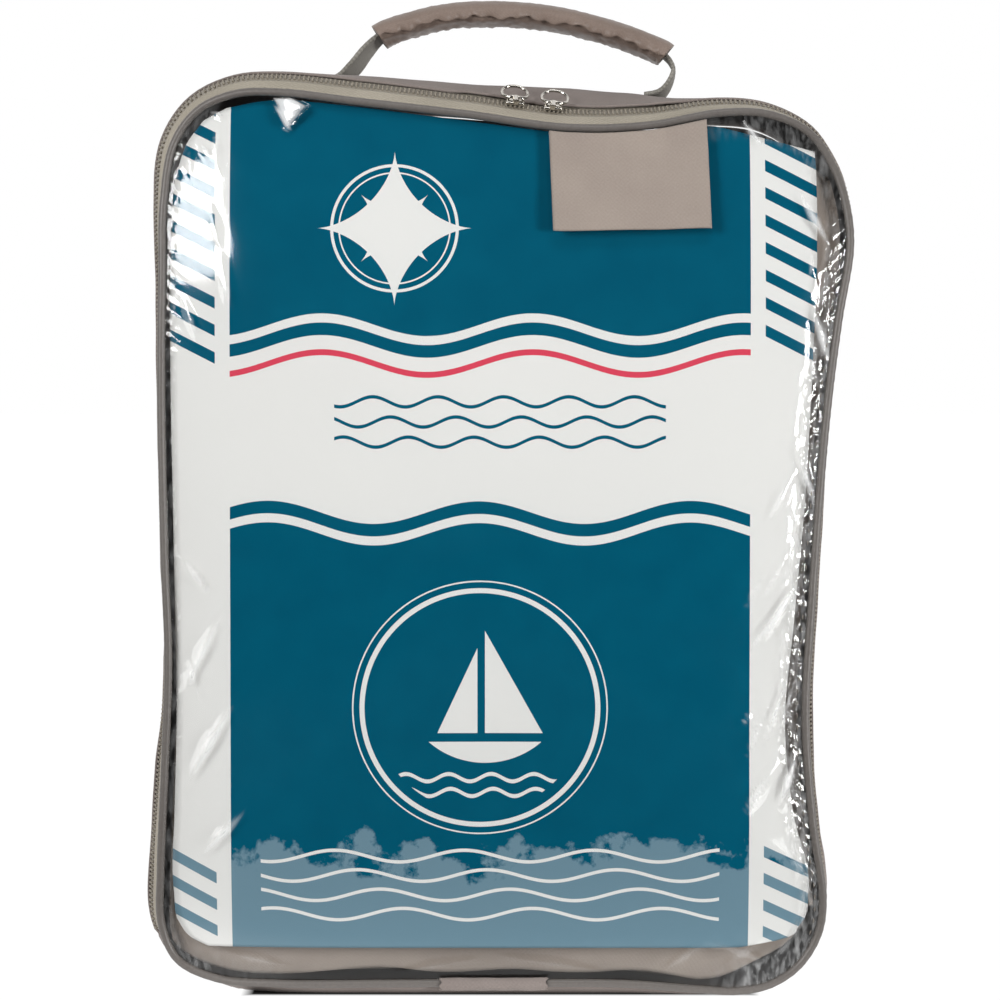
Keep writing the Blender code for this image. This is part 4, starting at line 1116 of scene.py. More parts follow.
# Where the film is slack or pleated: low, high and soft width, of x, of z or of the distance in from the seam
RIGHT_X, RIGHT_IN = (104.0, 150.0, 10.0), (0.0, 6.5, 4.5)
HEAD_Z = (312.0, 400.0, 24.0)
TOP_X, TOP_Z, TOP_IN = (84.0, 150.0, 12.0), (336.0, 400.0, 14.0), (0.0, 6.0, 5.0)
FOOT_X, FOOT_Z, FOOT_IN = (100.0, 150.0, 22.0), (-10.0, 16.0, 12.0), (0.0, 7.0, 6.0)
LEFT_X, LEFT_IN = (-150.0, -118.0, 8.0), (0.0, 2.5, 3.0)
PLEATED_X, PLEATED_IN = (112.0, 150.0, 10.0), (1.2, 4.5, 5.0)
TOP_SLACK, LEFT_SLACK = 0.15, 0.3
RIGHT_FOOT_SLACK, LEFT_FOOT_SLACK = 0.45, 0.2
CALM_HEAD = 0.7          # share of the right margin's slack that is gone at the top
# the painted highlight on the film's crease crests fades out below this height
PAINTED_GLARE_OVER = 26.0     # below this height there is soon no card behind the film, and its creases stay clear
PAINTED_GLARE_SOFT = 10.0
TURNED = ((-90.0, 361.0), (-88.6, 354.6), (-85.4, 347.4), (-77.4, 358.0), (-83.6, 361.6))
TURNED_SLOPE = (0.30, 0.14)
# how strong the painted highlight on the turned corner is
TURNED_PAINTED_GLARE = 0.6


def in_turned_corner(x, z):
    """1 inside the small corner of film that is turned up near the top, with a soft edge."""
    inside = np.full(np.shape(x), 1.0)
    for (ax, az), (bx, bz) in zip(TURNED, TURNED[1:] + TURNED[:1]):
        past = (x - ax) * (az - bz) + (z - az) * (bx - ax)
        inside = np.minimum(inside, np.clip(past / math.hypot(bx - ax, bz - az) / 0.8, 0.0, 1.0))
    return inside


def turned_corner(x, z):
    """How far the turned corner stands out."""
    rise = TURNED_SLOPE[0] * (x - TURNED[0][0]) + TURNED_SLOPE[1] * (z - TURNED[2][1])
    return in_turned_corner(x, z) * rise


def painted_glare_marks(x, z):
    """Painted highlight, from 0 to 1: along the crests of the film's creases and on the turned corner."""
    over_foot = np.clip((z - PAINTED_GLARE_OVER) / PAINTED_GLARE_SOFT, 0.15, 1.0)
    crests = over_foot * np.clip(0.75 * creased(x, z, FILM_CREASES) - 0.3, 0.0, 0.7)
    return np.maximum(crests, TURNED_PAINTED_GLARE * in_turned_corner(x, z))


def looseness(x, z, inside):
    """Where the film is slack by the seam, from 0 to 1."""
    right = near(x, *RIGHT_X) * near(inside, *RIGHT_IN)
    right = right * (1.0 - CALM_HEAD * near(z, *HEAD_Z))
    top = near(x, *TOP_X) * near(z, *TOP_Z) * near(inside, *TOP_IN)
    feet = near(z, *FOOT_Z) * near(np.abs(x), *FOOT_X) * near(inside, *FOOT_IN)
    feet = feet * np.where(x > 0.0, RIGHT_FOOT_SLACK, LEFT_FOOT_SLACK)
    left = LEFT_SLACK * near(x, *LEFT_X) * near(inside, *LEFT_IN)
    return np.clip(right + TOP_SLACK * top + feet + left, 0.0, 1.0)


def film_rise(x, z, inside, arc):
    """How far the film's creases, crumples and pleats stand out from its smooth crown."""
    right = near(x, *PLEATED_X)
    slack = looseness(x, z, inside) * np.clip(inside / 2.0, 0.0, 1.0)
    crumple = CRUMPLE * unrest(x, 0.5 * z, 7.0, 41, ridged=True)
    crumple = crumple + FINE_CRUMPLE * unrest(x, 0.4 * z, 3.6, 42, ridged=True)
    pleats = np.abs(np.sin(math.pi * arc / PLEAT_PITCH))
    pleats = pleats * near(inside, *PLEATED_IN) * (PLEAT_HEIGHT + RIGHT_PLEAT_HEIGHT * right)
    soft = 0.08 * unrest(x, z, 40.0, 43)
    settle = np.clip(inside / 3.0, 0.0, 1.0)
    return settle * (creased(x, z, FILM_CREASES) + soft) + slack * crumple + pleats + turned_corner(x, z)


def build_window():
    """The film, stretched inside the piping from its middle out, so that it faces the front."""
    line = seam_line(1.45)
    rings = np.concatenate([[0.0], np.linspace(0.1, 0.62, 8), np.linspace(0.64, 0.9, 22),
                            np.linspace(0.907, 0.997, 20), [1.0]])
    inset = PIPING_RADIUS + 0.1
    x, z = panel_places(line, rings, np.full(len(line.x), -inset))
    ring = np.broadcast_to(rings[None, :], x.shape)
    rim_x, rim_z = x[:, -1:], z[:, -1:]
    inside = np.abs((rim_x - x) * line.out_x[:, None] + (rim_z - z) * line.out_z[:, None])
    pleats = round(SEAM_LENGTH / PLEAT_PITCH)
    arc = np.broadcast_to(line.arc[:, None] * pleats * PLEAT_PITCH / SEAM_LENGTH, x.shape)
    y = front_plane(x, z) - WINDOW_CROWN * (1.0 - ring**WINDOW_FLATNESS) - film_rise(x, z, inside, arc)
    points = np.stack([x, y, z], axis=-1)
    points[-1] = points[0]
    # The marks: where the film is loose, and where it gets a painted highlight.
    made = laid_sheet("window_film", points, np.stack([x, z], axis=-1), clear_film(), 0.4,
                      loose=looseness(x, z, inside), stretched=painted_glare_marks(x, z))
    return stands_for(made, "clear_film", "window")


window = build_window()

# %% [markdown]
# ## The piping and the cloth over its joint
#
# Piping is a cord in a strip of vinyl, sewn in between film and zip. A tube swept along the seam gives it, and since
# the thread pulls it in at each stitch, it is very slightly beaded. Where its two ends meet at the foot, a scrap of
# the bag's cloth is wrapped over the joint.

# %% The piping
PIPING_SKIN, PIPING_BEAD = 0.12, 0.08


def build_piping():
    """The corded piping: a tube round the seam, drawn in a little at each stitch."""
    sides = 14
    turns = np.linspace(0.0, 2 * math.pi, sides + 1)[None, :]
    stitches = round(SEAM_LENGTH / PLEAT_PITCH)
    beat = np.cos(2 * math.pi * SEAM.arc * stitches / SEAM_LENGTH)[:, None]
    on_right = np.clip(SEAM.out_x[:, None], 0.0, 1.0)
    radius = PIPING_RADIUS + PIPING_SKIN + PIPING_BEAD * beat * (0.4 + 0.6 * on_right)
    out, back_way = radius * np.cos(turns), radius * np.sin(turns)
    centre_y = front_plane(SEAM.x, SEAM.z)[:, None]
    points = np.stack([
        SEAM.x[:, None] + SEAM.out_x[:, None] * out,
        centre_y + back_way,
        SEAM.z[:, None] + SEAM.out_z[:, None] * out,
    ], axis=-1)
    points[-1] = points[0]
    points[:, -1] = points[:, 0]
    flat = np.stack(np.broadcast_arrays(PIPING_RADIUS * turns, SEAM.arc[:, None]), axis=-1)
    made = laid_sheet("piping_cord", points, flat, PIPING_VINYL)
    return stands_for(made, "piping_vinyl", "piping")


build_piping()

# %% The cloth over the joint
WRAP_LEFT, WRAP_RIGHT, WRAP_RADIUS = -24.0, 18.8, 3.1
WRAP_FROM, WRAP_TO = -58.0, 108.0     # degrees round the piping


def build_wrap():
    """The scrap of cloth round the piping's joint, with its raw ends a little uneven."""
    turns = np.radians(np.linspace(WRAP_FROM, WRAP_TO, 22))[None, :]
    share = np.linspace(0.0, 1.0, 44)[:, None]
    ends = 0.5 * np.sin(5.0 * turns)
    x = WRAP_LEFT + (WRAP_RIGHT - WRAP_LEFT) * share + ends * (2.0 * share - 1.0)
    z = seam_end(x, -1)
    ripple = 0.14 * unrest(x, 8.0 * np.broadcast_to(turns, x.shape), 9.0, 51)
    radius = WRAP_RADIUS - 0.1 + np.clip(ripple, -0.1, 0.2)
    points = np.stack([x, front_plane(x, z) - radius * np.cos(turns), z - radius * np.sin(turns)], axis=-1)
    made = laid_sheet("piping_joint_cloth", points, flat_places(points), BAG_CLOTH, 0.8)
    return stands_for(made, "bag_cloth", "piping_joint_cover")


build_wrap()

# %% [markdown]
# ## The zip
#
# A coil zip is a nylon filament wound into two flat spirals that lock into each other, each sewn to a woven tape. At
# this scale the turns show as two rows of small beads, 1.8 mm apart, with a fine dark line between the rows. Each
# bead is a sphere, stretched across the zip, and all of them are one mesh, over the thin cord that fills the coil.

# %% The zip's tapes
def zip_line(spacing):
    """The stations beside which the zip runs."""
    line = seam_line(spacing)
    return part_of(line, line.z > np.where(line.x > 0, ZIP_RIGHT_FOOT_Z, ZIP_LEFT_FOOT_Z))


def build_tape(name, node, first, last, sink):
    """One tape of the zip, between two depths."""
    line = zip_line(2.0)
    share = np.linspace(0.0, 1.0, 6)[None, :]
    depths = np.broadcast_to(first + (last - first) * share, (len(line.x), 6)).copy()
    points = side_points(line, depths, -sink)
    flat = np.stack(np.broadcast_arrays(depths, line.arc[:, None]), axis=-1)
    made = laid_sheet(name, points, flat, TAPE_CLOTH, 0.7)
    return stands_for(made, "zip_tape", node)


build_tape("zip_tape_front_cloth", "zip_tape_front", TAPE_START - 0.4, COIL_START, 0.0)
build_tape("zip_tape_back_cloth", "zip_tape_back", COIL_END - 0.2, TAPE_END + 2.0, 1.3)

# %% The coil
COIL_PITCH = 1.78
COIL_MIDDLE = 0.5 * (COIL_START + COIL_END)
COIL_ROW = 0.8                 # from the middle to each row of beads
TOOTH = (0.56, 0.78, 0.72)     # a bead's half sizes: along the zip, across it, and up
TOOTH_SLANT = 10.0             # degrees


def frame_on_side(points, k):
    """A frame on a laid strip of three depths, at row k: x along it, y across it and z off its face."""
    after, before = Vector(points[min(k + 1, len(points) - 1), 1]), Vector(points[max(k - 1, 0), 1])
    along = (after - before).normalized()
    across = (Vector(points[k, 2]) - Vector(points[k, 0])).normalized()
    off = across.cross(along).normalized()
    turned = Matrix((along, off.cross(along), off)).transposed().to_4x4()
    turned.translation = Vector(points[k, 1])
    return turned


def build_coil():
    """Two rows of beads over the cord that fills the coil."""
    line = zip_line(COIL_PITCH / 2)
    even = np.arange(line.arc[0], line.arc[-1], COIL_PITCH / 2)
    line = SeamLine(*(np.interp(even, line.arc, column) for column in line))
    bead = bmesh.new()
    bmesh.ops.create_uvsphere(bead, u_segments=8, v_segments=5, radius=1.0)
    beads = []
    for row, depth in enumerate((COIL_MIDDLE - COIL_ROW, COIL_MIDDLE + COIL_ROW)):
        depths = np.tile([depth - 0.5, depth, depth + 0.5], (len(line.x), 1))
        points = side_points(line, depths, COIL_PROUD - TOOTH[2] + 0.1)
        for k in range(0, len(points), 2):
            place = frame_on_side(points, k)
            slant = Matrix.Rotation(math.radians(TOOTH_SLANT * (1 - 2 * row)), 4, "Z")
            beads.append(place @ slant @ Matrix.Diagonal((*TOOTH, 1.0)))
    made = from_bmesh("zip_coil_bars", repeated(bead, beads), COIL_NYLON)
    return stands_for(made, "zip_coil", "zip_chain")


def build_coil_cord():
    """The flat cord inside the coil, which closes the zip between its beads."""
    line = zip_line(3.0)
    depths = np.tile(np.linspace(COIL_START - 0.2, COIL_END + 0.2, 5), (len(line.x), 1))
    points = side_points(line, depths, -0.4)
    made = laid_sheet("zip_coil_cord", points, flat_places(points), COIL_NYLON, 0.7)
    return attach(made, "root")


build_coil()
build_coil_cord()

# %% [markdown]
# ## Sliders and pulls
#
# Two sliders meet in the middle of the top, so the bag opens from either side. Each is a die-cast plate over the coil
# with a small bridge, and an oval pull hangs in the bridge and has flopped back onto the cloth. The plate is a block
# with bevelled edges, the bridge a bent rod, and the pull a ring swept round an ellipse, with a neck.

# %% A frame on the zip, and rods bent along a line
SLIDER_PLACES = {"left": 4.8, "right": 20.8}
SLIDER_SIZE = (7.4, 5.8, 1.4)
SLIDER_NOSE, SLIDER_BEVEL = 0.72, 0.62     # the narrow end's share of the width, and the edges' rounding
BRIDGE_HALF_LENGTH, BRIDGE_HEIGHT, BRIDGE_ROOT = 3.0, 1.5, 0.4
BRIDGE_SECTION, BARREL_SECTION = (0.6, 0.75), (1.25, 1.15)
PULL_SKEW = {"left": 8.0, "right": -4.0}
PULL_WIDTH, PULL_LENGTH, PULL_WIRE, PULL_RISE = 11.8, 10.5, 0.62, 4.4


def top_frame(x, depth, lift):
    """A frame on the zip at the bag's top: x to the right along it, y back across it, z off its face."""
    top = part_of(SEAM, SEAM.z > TOP_FROM)
    k = int(np.argmin(np.abs(top.x - x)))
    near_line = part_of(top, np.arange(max(k - 2, 0), k + 3))
    points = side_points(near_line, np.tile([depth - 0.5, depth, depth + 0.5], (len(near_line.x), 1)))
    along = (Vector(points[0, 1]) - Vector(points[-1, 1])).normalized()
    across = (Vector(points[2, 2]) - Vector(points[2, 0])).normalized()
    off = along.cross(across).normalized()
    made = Matrix((along, off.cross(along), off)).transposed().to_4x4()
    made.translation = Vector(points[2, 1]) + off * lift
    return made


def bent_rod(shape, centres, normal, width, height, closed=False):
    """Sweep an oval section along a line of centres that lies in a plane with the given normal."""
    sides = 12
    count = len(centres)
    rings = []
    for k, centre in enumerate(centres):
        ahead = centres[(k + 1) % count] if closed or k < count - 1 else centre
        behind = centres[k - 1] if closed or k > 0 else centre
        side = normal.cross((ahead - behind).normalized())
        ring = bmesh.ops.create_circle(shape, segments=sides, radius=1.0)["verts"]
        for step, vertex in enumerate(ring):
            turn = 2 * math.pi * step / sides
            vertex.co = centre + side * (width * math.cos(turn)) + normal * (height * math.sin(turn))
        rings.append(ring)
    pairs = list(zip(rings, rings[1:])) + ([(rings[-1], rings[0])] if closed else [])
    for first, second in pairs:
        for step in range(sides):
            after = (step + 1) % sides
            shape.faces.new((first[step], first[after], second[after], second[step]))
    if not closed:
        shape.faces.new(rings[0][::-1])
        shape.faces.new(rings[-1])
    bmesh.ops.recalc_face_normals(shape, faces=shape.faces)


# %% The sliders and pulls
def build_slider(side, x):
    """The slider's rounded plate, and the low bridge along it in which the pull hangs."""
    length, width, height = SLIDER_SIZE
    plate = bmesh.new()
    bmesh.ops.create_cube(plate, size=1.0)
    bmesh.ops.scale(plate, vec=(length, width, height), verts=plate.verts)
    bmesh.ops.translate(plate, vec=(0, 0, height / 2), verts=plate.verts)
    for vertex in plate.verts:
        if vertex.co.x > 0:
            vertex.co.y *= SLIDER_NOSE
    bmesh.ops.bevel(plate, geom=plate.edges[:], offset=SLIDER_BEVEL, segments=4, profile=0.5,
                    affect="EDGES", material=-1)
    bridge = [
        Vector((BRIDGE_HALF_LENGTH * math.copysign(abs(math.cos(turn)) ** 0.6, math.cos(turn)), 0.0,
                height - BRIDGE_ROOT + (BRIDGE_HEIGHT + BRIDGE_ROOT) * math.sin(turn) ** 0.6))
        for turn in np.linspace(0.0, math.pi, 16)
    ]
    bent_rod(plate, bridge, Vector((0, 1, 0)), *BRIDGE_SECTION)
    made_frame = top_frame(x, COIL_MIDDLE, COIL_PROUD + GAP)
    bmesh.ops.transform(plate, matrix=made_frame, verts=plate.verts)
    made = from_bmesh(f"slider_{side}_plate", plate, NICKEL)
    return stands_for(made, "nickel", f"slider_{side}")


def build_pull(side, x):
    """The pull: a short barrel under the bridge and a ring of wire that leans back over the cloth."""
    start = top_frame(x, COIL_MIDDLE, COIL_PROUD + GAP + SLIDER_SIZE[2] + 0.75)
    rest = top_frame(x, COIL_MIDDLE + PULL_LENGTH, PULL_RISE)
    across = (rest.translation - start.translation).normalized()
    off = start.col[0].xyz.cross(across).normalized()
    turned = Matrix((across.cross(off), across, off)).transposed().to_4x4()
    turned = turned @ Matrix.Rotation(math.radians(PULL_SKEW[side]), 4, "Z")
    turned.translation = start.translation
    pull = bmesh.new()
    centres = [
        Vector((
            (PULL_WIDTH / 2 - PULL_WIRE) * math.copysign(abs(math.sin(turn)) ** 0.8, math.sin(turn)),
            PULL_LENGTH / 2 - 0.6 - (PULL_LENGTH / 2 - PULL_WIRE) * math.cos(turn),
            0.4 * math.cos(2 * turn),
        ))
        for turn in np.linspace(0.0, 2 * math.pi, 48, endpoint=False)
    ]
    bent_rod(pull, centres, Vector((0, 0, 1)), PULL_WIRE, PULL_WIRE, closed=True)
    barrel = [Vector((0.0, y, 0.3)) for y in np.linspace(-3.4, 0.4, 5)]
    bent_rod(pull, barrel, Vector((0, 0, 1)), *BARREL_SECTION)
    bmesh.ops.transform(pull, matrix=turned, verts=pull.verts)
    made = from_bmesh(f"pull_{side}_ring", pull, NICKEL)
    return stands_for(made, "nickel", f"pull_{side}")


for side_name, side_x in SLIDER_PLACES.items():
    build_slider(side_name, side_x)
    build_pull(side_name, side_x)

# %% [markdown]
# ## The cloth flap
#
# A flap of the cover's own cloth is caught in the top seam and hangs in front of the film. It is short and stiff with
# its coating, so it hangs nearly flat, with faint puckers under the seam and a turned edge on its left.

# %% The flap
FLAP_LEFT, FLAP_WIDTH, FLAP_DROP, FLAP_SLANT = 19.5, 63.0, 43.5, 4.0
FLAP_LEAN, FLAP_RISE, FLAP_CURL, FLAP_CLOTH = 1.6, 2.6, 1.2, 1.0
FLAP_TUCK = 0.4
PUCKER, PUCKER_LENGTH, TURNED_EDGE = 0.35, 0.22, 0.5


def build_flap():
    """The flap, hanging from under the piping."""
    down = np.linspace(1.0, 0.0, 46)[:, None]
    share = np.linspace(0.0, 1.0, 64)[None, :]
    x = FLAP_LEFT + FLAP_WIDTH * share + FLAP_LEAN * down
    top = seam_end(x, 1) - PIPING_RADIUS - FLAP_TUCK
    drop = FLAP_DROP + FLAP_TUCK - FLAP_SLANT * (1.0 - share) - FLAP_RISE * np.sin(math.pi * share)
    z = top - drop * down
    pucker_wave = np.sin(share * 31.0 + 1.7 * np.sin(share * 9.0))
    puckers = PUCKER * pucker_wave * np.exp(-((down / PUCKER_LENGTH) ** 2))
    sag = 0.45 * unrest(x, z, 44.0, 61) * np.minimum(1.0, 3.0 * down)
    turned_edge = TURNED_EDGE * np.exp(-(((x - FLAP_LEFT - FLAP_LEAN * down - 1.2) / 1.0) ** 2))
    stand = 3 * GAP + FLAP_CURL * down**2 + np.maximum(puckers + sag, -0.5) + turned_edge
    points = np.stack([x, film_y(x, z) - FLAP_CLOTH - stand, z], axis=-1)
    flat = np.stack(np.broadcast_arrays(x, FLAP_DROP * (1.0 - down)), axis=-1)
    made = laid_sheet("flap_cloth", points, flat, COVER_CLOTH, 0.8)
    return stands_for(made, "cover_cloth", "cloth_flap")


flap = build_flap()

# %% [markdown]
# ## The handle
#
# A woven strap rises from the top on both sides and runs through a sleeve of smooth cloth. Its middle line is a short
# table of places with the strap's tilt. The sleeve is a flat piece wrapped round the strap and sewn under it, so its
# lower front has a seam that puckers, and a line of stitches closes each end.

# %% The handle's middle line
HANDLE_Y = 22.0
STRAP_WIDTH, STRAP = 20.0, 1.8
HandleRow = namedtuple("HandleRow", "x z tilt")
HANDLE_ROWS = (
    HandleRow(-86.0, 370.4, -8.0),
    HandleRow(-73.0, 371.0, -8.3),
    HandleRow(-66.6, 372.4, -9.5),
    HandleRow(-60.9, 377.4, -11.0),
    HandleRow(-55.4, 384.4, -9.0),
    HandleRow(-50.0, 389.8, -5.0),
    HandleRow(-37.5, 394.8, 0.0),
    HandleRow(-20.9, 398.6, 0.0),
    HandleRow(-6.2, 399.5, 0.0),
    HandleRow(12.5, 398.7, 0.0),
    HandleRow(29.2, 396.1, 0.0),
    HandleRow(45.9, 391.6, 0.0),
    HandleRow(62.5, 385.7, 0.0),
    HandleRow(68.7, 382.5, 1.0),
    HandleRow(72.2, 377.4, 3.0),
    HandleRow(70.8, 371.2, 6.0),
    HandleRow(67.0, 366.4, 9.0),
    HandleRow(60.0, 364.2, 11.5),
    HandleRow(43.0, 365.2, 13.5),
)
STRAP_SHOWS_TO = 17.0
SLEEVE_FROM, SLEEVE_TO = 5, 13
SLEEVE_HALF_WIDTH, SLEEVE_HALF_HEIGHT = 12.4, 4.6


def handle_line(places):
    """The strap's middle line at places that count the rows from 0, its direction and its length so far."""
    rows = np.array(HANDLE_ROWS)
    knots = np.concatenate([[0.0], np.cumsum(np.hypot(*np.diff(rows[:, :2], axis=0).T))])
    at = np.interp(places, range(len(rows)), knots)
    line = smooth_curve(knots, rows, at)
    ahead = smooth_curve(knots, rows, np.minimum(at + 0.05, knots[-1]))
    behind = smooth_curve(knots, rows, np.maximum(at - 0.05, 0.0))
    direction = ahead[:, :2] - behind[:, :2]
    direction /= np.linalg.norm(direction, axis=1)[:, None]
    return line, direction, at


def strap_points(line, direction, across, up):
    """Points beside the middle line: so far across the strap and so far off its face."""
    turn = np.radians(line[:, 2:3])
    sideways = across * np.cos(turn) - up * np.sin(turn)
    off = across * np.sin(turn) + up * np.cos(turn)
    x = line[:, :1] - direction[:, 1:] * off
    z = line[:, 1:2] + direction[:, :1] * off
    return np.stack([x, HANDLE_Y + sideways, z], axis=-1)


# %% The strap
def build_strap():
    """The woven strap, from one sewn foot to the other, with slightly rounded edges."""
    line, direction, at = handle_line(np.linspace(0.0, STRAP_SHOWS_TO, 150))
    share = np.linspace(1.0, -1.0, 15)[None, :]
    crown = 0.25 * (1.0 - share**2) - 0.25
    ripple = 0.10 * np.sin(at[:, None] * 2.2 + 6.0 * share)
    points = strap_points(line, direction, share * STRAP_WIDTH / 2, STRAP / 2 + crown + ripple * 0.3)
    flat = np.stack(np.broadcast_arrays(share * STRAP_WIDTH / 2, at[:, None]), axis=-1)
    made = laid_sheet("handle_strap", points, flat, STRAP_CLOTH, STRAP - 0.3)
    return stands_for(made, "webbing", "handle_webbing")


build_strap()


# %% The sleeve
SLEEVE_EDGE, SLEEVE_LAP = -0.34, 0.55


def sleeve_section(turn, share, at):
    """The sleeve's outline at each angle, share of the way round, and length: across the strap and up."""
    gathers = np.sin(at * 0.80 + 1.6 * np.sin(at * 0.23))
    edge = np.exp(-((share / 0.045) ** 2))
    below = np.clip(-np.sin(turn), 0.0, 1.0)
    creases = unrest(at, turn * 5.0, 8.0, 71, ridged=True)
    soft = 0.15 * unrest(at, turn * 9.0, 21.0, 72)
    puff = 0.6 - 1.4 * share + edge * (0.5 + 0.7 * gathers) + (0.2 + 0.5 * below) * creases + soft
    puff = np.where(share > 0.9, np.minimum(puff, -0.7), puff)
    across = (SLEEVE_HALF_WIDTH - 0.2 + puff) * np.sign(np.cos(turn)) * np.abs(np.cos(turn)) ** 0.85
    up = (SLEEVE_HALF_HEIGHT + 0.7 * puff) * np.sign(np.sin(turn)) * np.abs(np.sin(turn)) ** 0.9
    return across, up


def build_sleeve():
    """The sleeve: one piece of cloth, wrapped once round the strap, with its free edge low on the front."""
    line, direction, at = handle_line(np.linspace(SLEEVE_FROM, SLEEVE_TO, 130))
    share = np.broadcast_to(np.linspace(0.0, 1.0, 73)[None, :], (len(at), 73))
    along = np.broadcast_to(at[:, None], share.shape)
    start = SLEEVE_EDGE + 0.10 * np.sin(along * 0.31) + 0.09 * np.sin(along * 0.83 + 1.0)
    turn = start + (SLEEVE_EDGE + SLEEVE_LAP + 2 * math.pi - start) * share
    across, up = sleeve_section(turn, share, along)
    points = strap_points(line, direction, -across, up)
    flat = np.stack(np.broadcast_arrays(turn * 9.0, along), axis=-1)
    made = laid_sheet("handle_sleeve_cloth", points, flat, SLEEVE_CLOTH, 0.8)
    return stands_for(made, "sleeve_cloth", "handle_sleeve"), points, at


sleeve, sleeve_points, sleeve_at = build_sleeve()

# %% [markdown]
# ## Sewing
#
# Stitches are small but they tell the eye how the bag was made. Each is a low sphere stretched along its seam and
# half sunk into the cloth. A row of them follows a line of points with the cloth's outward direction at each.

# %% Rows of stitches
STITCH = (1.15, 0.26, 0.26)     # half sizes: along the seam, across it, and up
FILM_STITCH_PITCH, SLEEVE_STITCH_PITCH = 4.96, 2.6
STITCHED_RIGHT_OF, STITCHED_OVER, STITCHED_UNDER = 90.0, 20.0, 300.0
STITCH_INSET, STITCH_PROUD = 3.4, 0.75
SLEEVE_SEAMS = {"left": 0.055, "right": 0.945}     # shares of the sleeve's length


def stitch_row(name, points, outward, pitch):
    """Stitches along a line of points, each turned along the line and set into the cloth."""
    steps = np.linalg.norm(np.diff(points, axis=0), axis=1)
    arc = np.concatenate([[0.0], np.cumsum(steps)])
    even = np.arange(pitch / 2, arc[-1], pitch)
    at = np.stack([np.interp(even, arc, points[:, k]) for k in range(3)], axis=1)
    ahead = np.stack([np.interp(even + 0.3, arc, points[:, k]) for k in range(3)], axis=1)
    off = np.stack([np.interp(even, arc, outward[:, k]) for k in range(3)], axis=1)
    bead = bmesh.new()
    bmesh.ops.create_uvsphere(bead, u_segments=6, v_segments=4, radius=1.0)
    stitches = []
    for place, forward, up in zip(at, ahead, off):
        along = Vector(forward - place).normalized()
        face = Vector(up).normalized()
        across = face.cross(along).normalized()
        turned = Matrix((along, across, along.cross(across))).transposed().to_4x4()
        turned.translation = Vector(place) + face * 0.08
        stitches.append(turned @ Matrix.Diagonal((*STITCH, 1.0)))
    made = from_bmesh(name, repeated(bead, stitches), THREAD)
    print(f"{name}: {len(even)} stitches")
    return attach(made, "root")


def build_film_stitches():
    """The row along the film's stitched edge, where it shows on the right."""
    line = seam_line(3.0)
    shows = (line.x > STITCHED_RIGHT_OF) & (line.z > STITCHED_OVER) & (line.z < STITCHED_UNDER)
    line = part_of(line, shows)
    x, z = line.x - line.out_x * STITCH_INSET, line.z - line.out_z * STITCH_INSET
    points = np.stack([x, film_y(x, z) - STITCH_PROUD, z], axis=-1)
    outward = np.tile([0.0, -1.0, 0.0], (len(points), 1))
    return stitch_row("film_stitches", points, outward, FILM_STITCH_PITCH)


def build_sleeve_stitches():
    """The rows across the sleeve, near each of its ends."""
    for name, share in SLEEVE_SEAMS.items():
        ring = sleeve_points[round(share * len(sleeve_points))]
        outward = ring - ring[:-1].mean(axis=0)
        stitch_row(f"sleeve_stitches_{name}", ring, outward, SLEEVE_STITCH_PITCH)


build_film_stitches()
build_sleeve_stitches()

# %% [markdown]
# ## Floor, light and camera
#
# The stage is a lit floor and a white wall behind the bag, and a dim room behind the camera. Film mirrors whatever is
# before it, so a bright room would lay a grey veil over the print. The light comes from softboxes instead. The key
# stands to the left of the camera, where the creases of the film's left margin mirror it, and those glints tell the
# eye that there is film at all. Two more, far out to the left and the right, fill the shade at a slant that the flat
# film mirrors past the camera. One high over the camera lights the cloth and the card, and a weak one just over the
# floor lights the crumpled film on the right from below.
#
# The floor is dark under the bag, because the bag's underside is dark in the photo. The camera stands 1.3 m in front
# of the bag, a little above its middle, with a long lens. Sizes here are in metres.

# %% The stage
GLOW_START = (-0.085, -0.061)          # y from dark to lit, in front of the bag
DARK_FRONT = (-0.040, -0.036)          # the dark field under the bag: its edges in y, and in x on both sides
DARK_BACK = (0.046, 0.050)
DARK_SIDE = (0.10, 0.105)
ROOM_LEVEL = 0.04


def build_floor():
    """A wide floor of lit opal glass, dark under the bag and in front of the picture's lower edge."""
    floor = bmesh.new()
    bmesh.ops.create_grid(floor, x_segments=8, y_segments=8, size=9000.0)
    made, tree = new_material("studio_floor_opal_glass")
    here = add_node(tree, "TexCoord").node.outputs["Object"]
    x, y, _ = add_node(tree, "SeparateXYZ", here).node.outputs
    sideways = add_node(tree, "Math", x, operation="ABSOLUTE")
    lit = add_node(tree, "MapRange", y, *GLOW_START, 0.0, 1.0)
    in_front = add_node(tree, "MapRange", y, *DARK_FRONT, 1.0, 0.0)
    behind = add_node(tree, "MapRange", y, *DARK_BACK, 0.0, 1.0)
    beside = add_node(tree, "MapRange", sideways, *DARK_SIDE, 0.0, 1.0)
    clear_of_bag = joined(tree, [in_front, behind, beside], "MAXIMUM")
    glow = add_node(tree, "Math", lit, clear_of_bag, operation="MULTIPLY")
    shader = add_node(tree, "BsdfPrincipled", named={
        "Base Color": linear("#303030"),
        "Roughness": 0.9,
        "Specular IOR Level": 0.0,
        "Emission Color": (1.0, 1.0, 1.0, 1.0),
        "Emission Strength": glow,
    })
    add_node(tree, "OutputMaterial", shader)
    from_bmesh("studio_floor", floor, made)


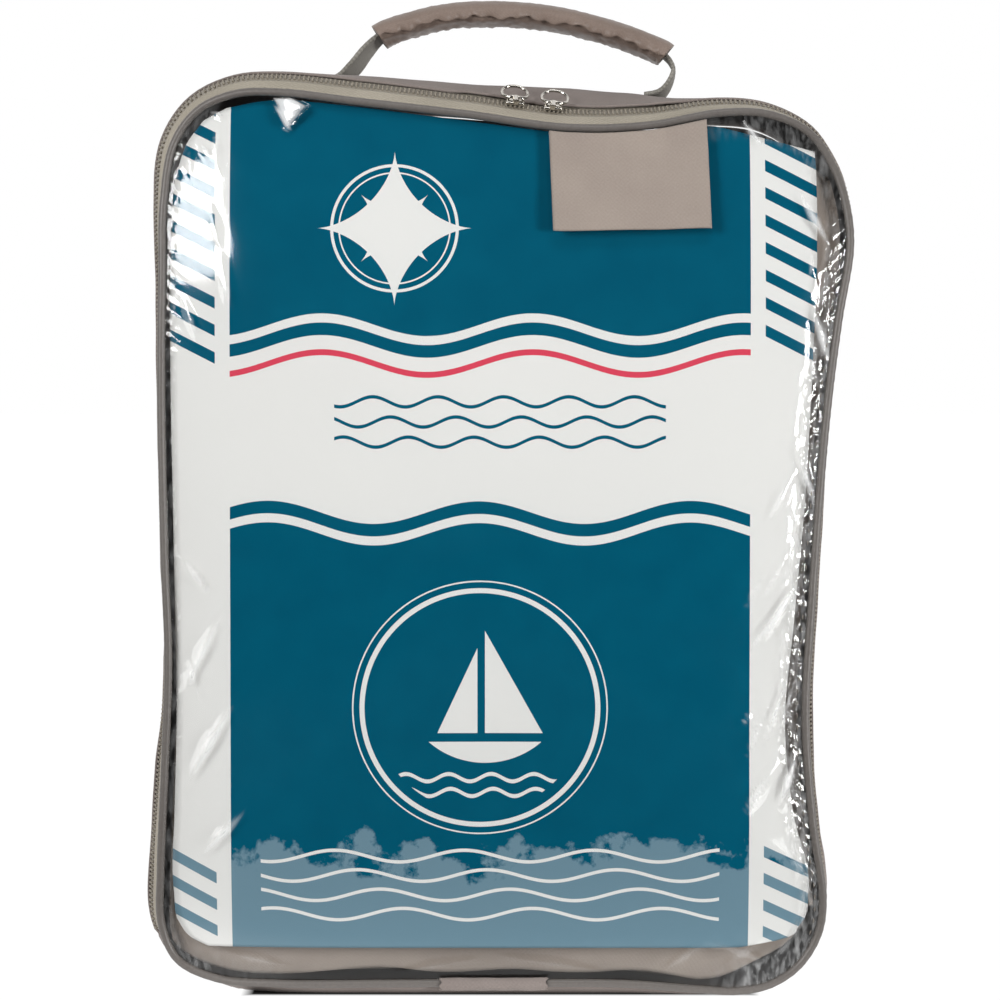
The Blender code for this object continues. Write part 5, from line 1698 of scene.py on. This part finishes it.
def build_sky():
    """A white studio wall behind the bag, and a dim room behind the camera."""
    world = bpy.data.worlds.new("studio")
    world.use_nodes = True
    tree = world.node_tree
    tree.nodes.clear()
    direction = add_node(tree, "TexCoord").node.outputs["Generated"]
    backward = add_node(tree, "SeparateXYZ", direction).node.outputs[1]
    level = add_node(tree, "MapRange", backward, -0.2, 0.3, ROOM_LEVEL, 1.0)
    sky = add_node(tree, "Background", (1.0, 1.0, 1.0, 1.0), level)
    add_node(tree, "OutputWorld", sky)
    bpy.context.scene.world = world


Softbox = namedtuple("Softbox", "name place target size watts")
SOFTBOXES = (
    Softbox("key_left", (-0.96, -1.17, 0.70), (-0.12, -0.05, 0.30), (0.46, 0.50), 15.0),
    Softbox("fill_left", (-1.75, -1.2, 0.25), (0.1, -0.05, 0.2), (0.8, 0.45), 4.0),
    Softbox("fill_right", (1.55, -1.42, 0.25), (-0.1, -0.05, 0.2), (0.5, 0.45), 26.0),
    Softbox("over_camera", (0.25, -1.7, 2.7), (0.0, -0.05, 0.2), (1.4, 0.8), 20.0),
    Softbox("bounce_right", (0.42, -0.24, 0.012), (0.40, -0.23, 1.0), (0.25, 0.16), 0.6),
)


def build_lights():
    """The softboxes, each turned to what it lights."""
    for box in SOFTBOXES:
        lamp = bpy.data.lights.new(box.name, "AREA")
        lamp.shape = "RECTANGLE"
        lamp.size, lamp.size_y = box.size
        lamp.energy = box.watts
        made = bpy.data.objects.new(box.name, lamp)
        bpy.context.scene.collection.objects.link(made)
        made.location = box.place
        aim = Vector(box.target) - Vector(box.place)
        made.rotation_euler = aim.to_track_quat("-Z", "Y").to_euler()


def build_camera():
    """A long lens at the photo's angle: 400 mm across at the bag's front, three degrees above the level."""
    distance, elevation, centre_z = 1.3, math.radians(3.0), 0.2006
    view_width = 0.4
    front_y = FRONT_Y * MM
    lens = bpy.data.cameras.new("camera")
    lens.sensor_width = 36.0
    lens.lens = lens.sensor_width * distance / view_width
    made = bpy.data.objects.new("camera", lens)
    bpy.context.scene.collection.objects.link(made)
    made.location = (
        0.0, front_y - distance * math.cos(elevation), centre_z + distance * math.sin(elevation)
    )
    made.rotation_euler = (math.radians(90.0) - elevation, 0.0, 0.0)
    bpy.context.scene.camera = made


build_floor()
build_sky()
build_lights()
build_camera()
bpy.context.scene.view_settings.view_transform = "Standard"
